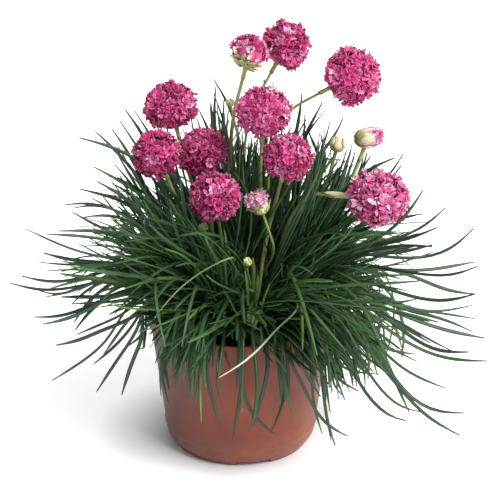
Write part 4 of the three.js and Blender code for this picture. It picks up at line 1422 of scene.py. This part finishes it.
def traced_leaves():
    """The leaves that stand clear in the photograph, as lines from a rosette through their traced places.

    The depth of a tip is drawn within its group's range; the places further in lie between it and the foot.
    A leaf mostly belongs to the rosette that lies nearest to where it points.
    """
    draw = np.random.default_rng(TRACED_SEED)
    centres = tuft_places()
    found = {number: [] for number in range(len(centres))}

    def beside(pixel):
        return draw.uniform(-0.5, 0.3) * abs(place_at(pixel, 0.0)[0])

    def hanging(pixel):
        return depth_round(pixel, draw.uniform(61, 84) * MM)

    groups = (
        (LEFT_LEAVES, DARK_VARIANTS, 1, beside),
        (RIGHT_LEAVES, DARK_VARIANTS, 1, beside),
        (TOP_LEAVES, DARK_VARIANTS, 1, lambda pixel: draw.uniform(30, 52) * MM),
        (FRONT_LEAVES, DARK_VARIANTS, 0, hanging),
        (STRAW_LEAVES, (STRAW_VARIANT, STRAW_VARIANT + 1), 0.35, lambda pixel: -104 * MM),
        (YELLOW_LEAVES, (YELLOW_VARIANT, LIGHT_VARIANT), 0.6, lambda pixel: -88 * MM),
        (LIGHT_LEAVES, (LIGHT_VARIANT, DEAD_VARIANT), 0.45, lambda pixel: -95 * MM),
        (PALE_LEAVES, (LIGHT_VARIANT, DEAD_VARIANT), 1, lambda pixel: -12 * MM),
    )
    for table, variants, forward, depth_rule in groups:
        for numbers in table:
            row = np.reshape(numbers, (-1, 2))
            tip = place_at(row[0], depth_rule(row[0]))
            anchor = place_at(row[-1], -22 * MM) if 0 < forward < 1 else tip * 0.3
            pull = centres[:, :2] - anchor[:2]
            near = np.argsort(np.hypot(*pull.T))[:3]
            number = int(near[min(2, int(draw.exponential(0.8)))])
            line = traced_line(row, tip, centres[number], draw, forward)
            found[number].append((line, draw.integers(*variants)))
    return found


def traced_line(row, tip, centre, draw, forward):
    """One traced leaf: its foot on the shoot, a first stretch that rises outwards, its traced places, its
    tip. The places' depths go from the foot's to the tip's by a power of the share of the way; where the
    power is 0, the leaf goes over the rim instead, and hangs down beside the wall.
    """
    heading = unit((tip - centre) * np.array([1, 1, 0]))
    foot = centre + heading * 3 * MM + UP * (SHOOT_BASE + draw.uniform(3, 7) * MM)
    steep = math.radians(draw.uniform(38, 58)) if tip[2] < HIGH_TIP else math.radians(72)
    rise = foot + (heading * math.cos(steep) + UP * math.sin(steep)) * 16 * MM
    if forward == 0:
        reach = np.hypot(*tip[:2])
        low = [place_at(pixel, depth_round(pixel, reach * share))
               for pixel, share in zip(row[1:], (0.97, 0.93, 0.9)) if pixel[1] > RIM_PIXEL]
        last = low[-1] if low else tip
        over = unit(last * np.array([1, 1, 0])) * RIM_RADIUS + UP * (POT_HEIGHT + draw.uniform(6, 13) * MM)
        return smooth_line(np.array([foot, over] + low[::-1] + [tip]), TRACED_RINGS)
    from_foot = np.hypot(*(row - pixels_of(foot)[0]).T)
    to_tip = np.hypot(*(row - row[0]).T)
    depths = foot[1] + (tip[1] - foot[1]) * (from_foot / (from_foot + to_tip)) ** forward
    places = [place_at(pixel, depth) for pixel, depth in zip(row[1:], depths[1:])]
    return smooth_line(np.array([foot, rise] + places[::-1] + [tip]), TRACED_RINGS)


def random_lines(number, centre, count, seed):
    """Candidates for a rosette's leaves. Each starts at its own slope and bends over along its length, most
    where it is long and low, and lifts its tip a little; its line is the running sum of its slopes.
    """
    draw = np.random.default_rng(seed)
    outer = number < OUTER_TUFTS
    home = math.atan2(centre[1], centre[0])
    azimuth = home + draw.normal(0, 0.7 if outer else 1.5, count)
    azimuth = np.where(draw.uniform(size=count) < 0.12, azimuth + draw.normal(0, 1.2, count), azimuth)
    steepness = draw.uniform(0, 1, count) ** (1.0 if outer else 0.6)
    slope = np.radians(22 + 64 * steepness)
    length = (draw.uniform(80, 165, count) if outer else draw.uniform(80, 150, count)) * MM
    short = (draw.uniform(size=count) < 0.4) & outer
    length = np.where(short, length * 0.48, length)
    slope = np.where(short, slope * 0.8, slope)
    bend = np.radians((100 - 72 * steepness) * draw.uniform(0.55, 1.15, count)) * (length / (140 * MM)) ** 0.4
    upturn = np.radians(draw.uniform(0, 38, count))
    droops = (draw.uniform(size=count) < 0.3) & outer & (steepness < 0.6)
    bend = np.where(droops, bend * 1.45, bend)
    upturn = np.where(droops, 0, upturn)
    sway = draw.normal(0, 0.32, count)
    share = np.arange(LEAF_RINGS - 1) / (LEAF_RINGS - 2)
    angles = slope[:, None] - bend[:, None] * share ** 1.15 + upturn[:, None] * share ** 4
    headings = azimuth[:, None] + sway[:, None] * share
    steps = circle(headings) * np.cos(angles)[..., None] + UP * np.sin(angles)[..., None]
    steps *= (length / (LEAF_RINGS - 1))[:, None, None]
    feet = centre + circle(azimuth) * (3.4 - 2.2 * steepness[:, None]) * MM
    feet[:, 2] = SHOOT_BASE + (3 + 5.5 * steepness) * MM
    lines = np.concatenate([feet[:, None], feet[:, None] + np.cumsum(steps, axis=1)], axis=1)
    return lines


def fits(lines, draw, lanes):
    """Which leaf lines stay in the leaf mass as the photograph shows it, keep clear of the flowers and
    don't cross in front of them or of the lines that are given as lanes.
    """
    edge = np.array(MASS_EDGE, float) - MASS_CENTRE
    edge_angle = np.arctan2(edge[:, 1], edge[:, 0])
    order = np.argsort(edge_angle)
    finer = np.concatenate([lines, (lines[:, 1:] + lines[:, :-1]) / 2], axis=1)
    pixels, distance = pixels_of(finer)
    offset = pixels - MASS_CENTRE
    limit = np.interp(np.arctan2(offset[..., 1], offset[..., 0]), edge_angle[order],
                      np.hypot(*edge[order].T), period=TURN)
    shrink = 1 - 0.3 * draw.uniform(0, 1, len(lines)) ** 2
    good = (np.hypot(offset[..., 0], offset[..., 1]) < limit * shrink[:, None]).all(-1)
    good &= (np.abs(lines) < REACH).all((1, 2))
    for flower in ALL_FLOWERS:
        gap = np.linalg.norm(finer - flower.middle, axis=-1)
        good &= (gap > flower.radius + ROOM_TO_HEADS).all(-1)
        centre, depth = pixels_of(flower.middle)
        across = np.hypot(*(pixels - centre).transpose(2, 0, 1))
        covers = (across < flower.radius * FOCAL_PIXELS / depth + 1) & (distance < depth)
        good &= ~covers.any(-1)
    for lane in lanes:
        centre, depth = pixels_of(lane)
        across = np.hypot(*(pixels[:, :, None] - centre).transpose(3, 0, 1, 2))
        good &= ~((across < LANE_HALF_WIDTH) & (distance[..., None] < depth)).any((1, 2))
    return good


def chosen(lines, good, wanted):
    """The leaves of a rosette: first, up to their shares, those that hang low at the front and those that
    stand high in the middle, then the others in turn.
    """
    tips = pixels_of(lines[:, -1])[0]
    low = good & (tips[:, 1] > LOW_TIPS)
    high = good & (tips[:, 1] < HIGH_TIPS) & (np.abs(tips[:, 0] - HIGH_MIDDLE) < HIGH_REACH)
    rest = good & ~low & ~high
    counts = (round(LOW_SHARE * wanted), round(HIGH_SHARE * wanted), wanted)
    picked = np.concatenate([np.flatnonzero(part)[:count] for part, count in zip((low, high, rest), counts)])
    return picked[:wanted]


def shoot(centre):
    """The short shoot under a rosette: a turned bulb of old leaf bases."""
    heights = np.linspace(0, 1, 6)
    path = centre + UP * (SHOOT_BASE + heights * SHOOT_HEIGHT)[:, None]
    radii = SHOOT_RADIUS * np.array([0.75, 0.95, 0.98, 0.9, 0.78, 0.5])
    return tubes(path[None], radii[None], 12, NORTH)


def kept_clear(traced):
    """Rows of places that no seeded leaf may hide: along the stems and the light leaves that show in front
    of the mass, and at the bare part of the pot's rim.
    """
    lanes = [path[CLEAR_STEMS[flower.label]:] for flower, path in stem_paths() if flower.label in CLEAR_STEMS]
    for found in traced.values():
        lanes += [line[HIDDEN_RINGS:] for line, variant in found if variant >= LIGHT_VARIANT]
    behind = np.full_like(BARE_RIM, 2 * MM - RIM_RADIUS)
    return lanes + [np.stack([BARE_RIM, behind, np.full_like(BARE_RIM, POT_HEIGHT)], axis=-1)]


def make_leaf_tufts(settings):
    """The leaf rosettes: seeded leaves that fill the mass, traced leaves, a few dead ones and the shoot.
    Leaves with high tips are a little narrower, and darker as a painted shade among the heads.
    """
    material = leaf_finish(settings)
    traced = traced_leaves()
    lanes = kept_clear(traced)
    for number, centre in enumerate(tuft_places()):
        draw = np.random.default_rng(TUFT_SEED + number)
        wanted = settings.outer_count if number < OUTER_TUFTS else settings.inner_count
        lines = clear_of_pot(random_lines(number, centre, CANDIDATES * wanted, LINE_SEED + number))
        good = chosen(lines, fits(lines, draw, lanes), wanted)
        own = clear_of_pot(np.array([line for line, _ in traced[number]]).reshape(-1, TRACED_RINGS, 3))
        traced_variants = np.array([variant for _, variant in traced[number]])
        parts = Parts()
        for group, dead_share in ((lines[good], DEAD_SHARE), (own, 0)):
            count = len(group)
            if count == 0:
                continue
            widths = settings.width * draw.uniform(0.65, 1.12, count)
            variants = draw.integers(0, YELLOW_VARIANT, count)
            variants = np.where(draw.uniform(size=count) < YELLOW_SHARE, YELLOW_VARIANT, variants)
            variants = np.where(draw.uniform(size=count) < dead_share, DEAD_VARIANT, variants)
            if group is own:
                variants = traced_variants
                thin = [variants == STRAW_VARIANT, variants >= LIGHT_VARIANT]
                widths = widths * np.select(thin, [0.52, 0.65], 0.98)
                blades = leaves(group, widths, draw.normal(0, 0.3, count), -LOOK)
            else:
                high = pixels_of(group[:, -1])[0][:, 1] < FINE_TIPS
                # Painted shade: seeded leaves whose tips stand high among the heads take darker variants
                variants = np.where(high & (variants < YELLOW_VARIANT), variants // 2, variants)
                widths = np.where(high, 0.88, 1) * widths
                blades = leaves(group, widths, draw.normal(0, 0.9, count))
            parts.add(blades, leaf_map(group.shape[1], variants))
        parts.add(shoot(centre), spindle_map(6, halfway_round(12), np.array([SHOOT_VARIANT])))
        label = f"{number + 1:02d}"
        parts.make(f"rosette_{label}", material, [f"leaf_tuft_{label}"], mapped=True)


def make_stage(settings):
    """A plain pale floor, a pale surround, soft studio light and the camera at the photograph's angle."""
    scene = bpy.context.scene
    size = 12
    corners = [(-size, -size, 0), (size, -size, 0), (size, size, 0), (-size, size, 0)]
    floor_mesh = bpy.data.meshes.new("floor")
    floor_mesh.from_pydata(corners, [], [(0, 1, 2, 3)])
    floor = bpy.data.objects.new("floor", floor_mesh)
    scene.collection.objects.link(floor)
    finish = Finish("floor_paper", 0.9)
    radius = finish.node("VectorMath", 1, {0: finish.place()}, operation="LENGTH")
    glow = finish.spread(radius, POOL_INNER, POOL_OUTER, 0, settings.floor_glow)
    finish.set(Base_Color=settings.floor_color, Emission_Color=(1, 1, 1), Emission_Strength=glow)
    floor_mesh.materials.append(finish.material)

    world = bpy.data.worlds.new("studio")
    world.use_nodes = True
    scene.world = world
    sky = Nodes(world.node_tree)
    eastward = sky.node("SeparateXYZ", inputs={0: sky.node("TexCoord", "Generated")})
    dim, bright = (settings.surround * (1 + way * settings.side_share) for way in (-1, 1))
    background = world.node_tree.nodes["Background"]
    sky.feed(background.inputs["Color"], (1, 1, 1))
    sky.feed(background.inputs["Strength"], sky.spread(eastward, -1, 1, dim, bright))
    key = bpy.data.lights.new("key", "SUN")
    key.energy = settings.key_power
    key.angle = settings.key_softness
    key_lamp = bpy.data.objects.new("key", key)
    key_lamp.rotation_euler = KEY_TURN
    scene.collection.objects.link(key_lamp)

    camera = bpy.data.objects.new("camera", bpy.data.cameras.new("camera"))
    camera.data.sensor_width = SENSOR
    camera.data.lens = SENSOR * FOCAL_PIXELS / PICTURE
    camera.data.clip_start = 0.05
    camera.data.clip_end = 100
    camera.location = EYE
    camera.rotation_euler = (TILT, 0, 0)
    scene.collection.objects.link(camera)
    scene.camera = camera
    scene.view_settings.view_transform = "Standard"


def color_of(name, code, description):
    """A colour that a user may change."""
    return FloatVectorProperty(
        name=name, description=description, subtype="COLOR", size=3, min=0, max=1, default=from_hex(code))


def length_of(name, value, description):
    """A length that a user may change."""
    return FloatProperty(name=name, description=description, unit="LENGTH", min=0, default=value)


def share_of(name, value, description):
    """A plain number that a user may change."""
    return FloatProperty(name=name, description=description, min=0, default=value)


def count_of(name, value, description, least=1):
    """A number of pieces that a user may change."""
    return IntProperty(name=name, description=description, min=least, default=value)


class PotSettings(PropertyGroup):
    color: color_of("Plastic", "#733320", "Main colour of the plastic")
    deep_color: color_of("Dark clouds", "#602a1c", "Colour of its darker clouds")
    pale_color: color_of("Pale clouds", "#843e26", "Colour of its paler clouds and streaks")
    # Painted shade: the colour that darkens the pot's left side, away from the key light
    dull_color: color_of("Dull side", "#3a2422", "Colour that dulls the left side")
    dust_color: color_of("Dust", "#b9998a", "Colour of the dust low down")
    speck_color: color_of("Specks", "#d9b7a4", "Colour of small specks")


class SoilSettings(PropertyGroup):
    color: color_of("Soil", "#33261c", "Main colour of the soil")
    deep_color: color_of("Black grains", "#17100b", "Colour of the darkest grains")
    pale_color: color_of("Brown grains", "#5b4634", "Colour of the palest grains")
    grit_color: color_of("Grit", "#6f6352", "Colour of the specks of grit")
    crumbs: count_of("Crumbs", 420, "Lumps lying on the soil")


class RootstockSettings(PropertyGroup):
    color: color_of("Bark", "#5a4432", "Main colour of the bark")
    deep_color: color_of("Dark bark", "#2a1c12", "Colour of the cracks")
    pale_color: color_of("Grey bark", "#8a7258", "Colour of the grey flakes")


class StemSettings(PropertyGroup):
    radius: length_of("Radius", 1.1 * MM, "Radius of a stem")
    color: color_of("Stem", "#8d9a5e", "Main colour of the stems")
    deep_color: color_of("Olive patches", "#66773f", "Colour of the darker patches")
    pale_color: color_of("Pale patches", "#b3b985", "Colour of the paler patches")


class PetalSettings(PropertyGroup):
    floret_radius: length_of("Floret radius", 3.9 * MM, "From a floret's middle to its petals' tips")
    floret_area: FloatProperty(
        name="Floret area", description="Area of the head that one floret takes", unit="AREA",
        min=1 * MM * MM, default=17.5 * MM * MM)
    petal_thickness: length_of("Petal thickness", 0.16 * MM, "Thickness of a petal in its middle")
    color: color_of("Petal", "#cf2679", "Main colour of the petals")
    deep_color: color_of("Deep", "#8c0a4b", "Colour of the claws, the veins and the deepest petals")
    pink_color: color_of("Pink", "#ea74ad", "Colour of the light petals")
    pale_color: color_of("Pale", "#fbd6e7", "Colour of the margins and the palest petals")
    tube_color: color_of("Tube", "#7c2450", "Colour of the florets' tubes at their foot")
    throat_color: color_of("Throat", "#b23a78", "Colour of the florets' tubes at their top")
    core_color: color_of("Core", "#520c30", "Colour of the head's middle")
    core_pale_color: color_of("Core lines", "#8a1c54", "Colour of its paler lines")


class BractSettings(PropertyGroup):
    brown_color: color_of("Brown", "#86704a", "Colour of the oldest bracts and of the lines")
    straw_color: color_of("Straw", "#a39a62", "Colour of the dry bracts")
    green_color: color_of("Green", "#9cab5a", "Colour of the young bracts")
    cream_color: color_of("Cream", "#f0e6c2", "Colour of the pale bracts")
    rosy_color: color_of("Rosy", "#e6cbc4", "Colour of the palest bracts, next to the petals")
    pale_color: color_of("Margin", "#f6ead6", "Colour of the thin margins")
    petal_color: color_of("Petal", "#cc4f93", "Colour of the first petals")
    blush_color: color_of("Blush", "#f9dae8", "Colour of the first petals' pale parts")


class BudSettings(PropertyGroup):
    brown_color: color_of("Brown", "#9c8258", "Colour of old scales and of the lines")
    straw_color: color_of("Straw", "#c4b67c", "Colour of dry scales")
    green_color: color_of("Green", "#aebc62", "Colour of young scales")
    cream_color: color_of("Cream", "#faf6cc", "Colour of the pale scales")
    rosy_color: color_of("Rosy", "#e6cbc4", "Colour of the palest scales, next to the petals")
    pale_color: color_of("Margin", "#fffbe8", "Colour of the thin margins")
    petal_color: color_of("Petal", "#cc4f93", "Colour of the first petals")
    blush_color: color_of("Blush", "#f9dae8", "Colour of the first petals' pale parts")


class LeafSettings(PropertyGroup):
    width: length_of("Width", 2.15 * MM, "Width of a leaf")
    outer_count: count_of("Outer leaves", 140, "Seeded leaves of an outer rosette")
    inner_count: count_of("Inner leaves", 84, "Seeded leaves of an inner rosette")
    color: color_of("Leaf", "#395d30", "Main green")
    deep_color: color_of("Deep", "#233a28", "Deepest green")
    blue_color: color_of("Grey green", "#486645", "Grey green of some leaves")
    fresh_color: color_of("Fresh", "#4f7a34", "Freshest green")
    yellow_color: color_of("Yellow green", "#62783a", "Colour of ageing leaves")
    light_color: color_of("Light green", "#829c62", "Colour of a few light leaves")
    base_color: color_of("Base", "#6f7f50", "Colour of the leaves' feet")
    withered_color: color_of("Withered", "#7d6a48", "Colour of the dark lines of dead leaves")
    dry_color: color_of("Dry", "#9a8f74", "Colour of dry tips and dead leaves")
    straw_color: color_of("Straw", "#d4d4c0", "Colour of the bleached leaf that lies over the rim")


class StageSettings(PropertyGroup):
    floor_color: color_of("Floor", "#fdfdfd", "Colour of the floor")
    floor_glow: share_of("Floor glow", 0.58, "Light that the floor gives, which thins the shadow")
    surround: share_of("Surround", 0.56, "Brightness of the pale surround")
    side_share: share_of("Side share", 0.8, "How much brighter the surround is on the right")
    key_power: share_of("Key light", 3.4, "Strength of the main light")
    key_softness: FloatProperty(
        name="Key size", description="Angle that the main light fills", subtype="ANGLE",
        default=math.radians(30), min=0)


class ThriftSettings(PropertyGroup):
    pot: PointerProperty(type=PotSettings)
    soil: PointerProperty(type=SoilSettings)
    rootstock: PointerProperty(type=RootstockSettings)
    stems: PointerProperty(type=StemSettings)
    petals: PointerProperty(type=PetalSettings)
    bracts: PointerProperty(type=BractSettings)
    buds: PointerProperty(type=BudSettings)
    leaves: PointerProperty(type=LeafSettings)
    stage: PointerProperty(type=StageSettings)


class THRIFT_OT_stage(Operator):
    """Sets up the floor, the light and the camera"""
    bl_idname = "thrift.stage"
    bl_label = "Stage"

    def execute(self, context):
        make_stage(context.scene.thrift.stage)
        return {"FINISHED"}


class THRIFT_OT_pot(Operator):
    """Builds the plastic nursery pot"""
    bl_idname = "thrift.pot"
    bl_label = "Pot"

    def execute(self, context):
        make_pot(context.scene.thrift.pot)
        return {"FINISHED"}


class THRIFT_OT_soil(Operator):
    """Builds the soil with its crumbs"""
    bl_idname = "thrift.soil"
    bl_label = "Soil"

    def execute(self, context):
        make_soil(context.scene.thrift.soil)
        return {"FINISHED"}


class THRIFT_OT_rootstock(Operator):
    """Builds the woody rootstock"""
    bl_idname = "thrift.rootstock"
    bl_label = "Rootstock"

    def execute(self, context):
        make_rootstock(context.scene.thrift.rootstock)
        return {"FINISHED"}


class THRIFT_OT_stems(Operator):
    """Builds the flower stems"""
    bl_idname = "thrift.stems"
    bl_label = "Stems"

    def execute(self, context):
        make_stems(context.scene.thrift.stems)
        return {"FINISHED"}


class THRIFT_OT_bracts(Operator):
    """Builds the papery cups under the heads"""
    bl_idname = "thrift.bracts"
    bl_label = "Bract cups"

    def execute(self, context):
        make_bract_cups(context.scene.thrift.bracts)
        return {"FINISHED"}


class THRIFT_OT_heads(Operator):
    """Builds the flower heads"""
    bl_idname = "thrift.heads"
    bl_label = "Flower heads"

    def execute(self, context):
        make_heads(context.scene.thrift.petals)
        return {"FINISHED"}


class THRIFT_OT_buds(Operator):
    """Builds the buds"""
    bl_idname = "thrift.buds"
    bl_label = "Buds"

    def execute(self, context):
        make_buds(context.scene.thrift.buds)
        return {"FINISHED"}


class THRIFT_OT_leaves(Operator):
    """Builds the leaf rosettes"""
    bl_idname = "thrift.leaves"
    bl_label = "Leaf rosettes"

    def execute(self, context):
        make_leaf_tufts(context.scene.thrift.leaves)
        return {"FINISHED"}


BUILDERS = (
    THRIFT_OT_stage, THRIFT_OT_pot, THRIFT_OT_soil, THRIFT_OT_rootstock, THRIFT_OT_stems, THRIFT_OT_bracts,
    THRIFT_OT_heads, THRIFT_OT_buds, THRIFT_OT_leaves,
)


class THRIFT_PT_panel(Panel):
    """Lists the pieces and their settings"""
    bl_label = "Sea Thrift"
    bl_idname = "THRIFT_PT_panel"
    bl_space_type = "VIEW_3D"
    bl_region_type = "UI"
    bl_category = "Sea Thrift"

    def draw(self, context):
        for builder in BUILDERS:
            self.layout.operator(builder.bl_idname)
        thrift = context.scene.thrift
        for group in thrift.bl_rna.properties:
            if group.type == "POINTER" and group.identifier != "rna_type":
                box = self.layout.box()
                box.label(text=group.identifier.capitalize())
                settings = getattr(thrift, group.identifier)
                for entry in settings.__annotations__:
                    box.prop(settings, entry)


CLASSES = (
    PotSettings, SoilSettings, RootstockSettings, StemSettings, PetalSettings, BractSettings, BudSettings,
    LeafSettings, StageSettings, ThriftSettings, *BUILDERS, THRIFT_PT_panel,
)


def register():
    for item in CLASSES:
        bpy.utils.register_class(item)
    bpy.types.Scene.thrift = PointerProperty(type=ThriftSettings)


def unregister():
    del bpy.types.Scene.thrift
    for item in reversed(CLASSES):
        bpy.utils.unregister_class(item)


def main():
    """Builds every piece in order."""
    register()
    for builder in BUILDERS:
        family, name = builder.bl_idname.split(".")
        getattr(getattr(bpy.ops, family), name)()


if __name__ == "__main__":
    main()
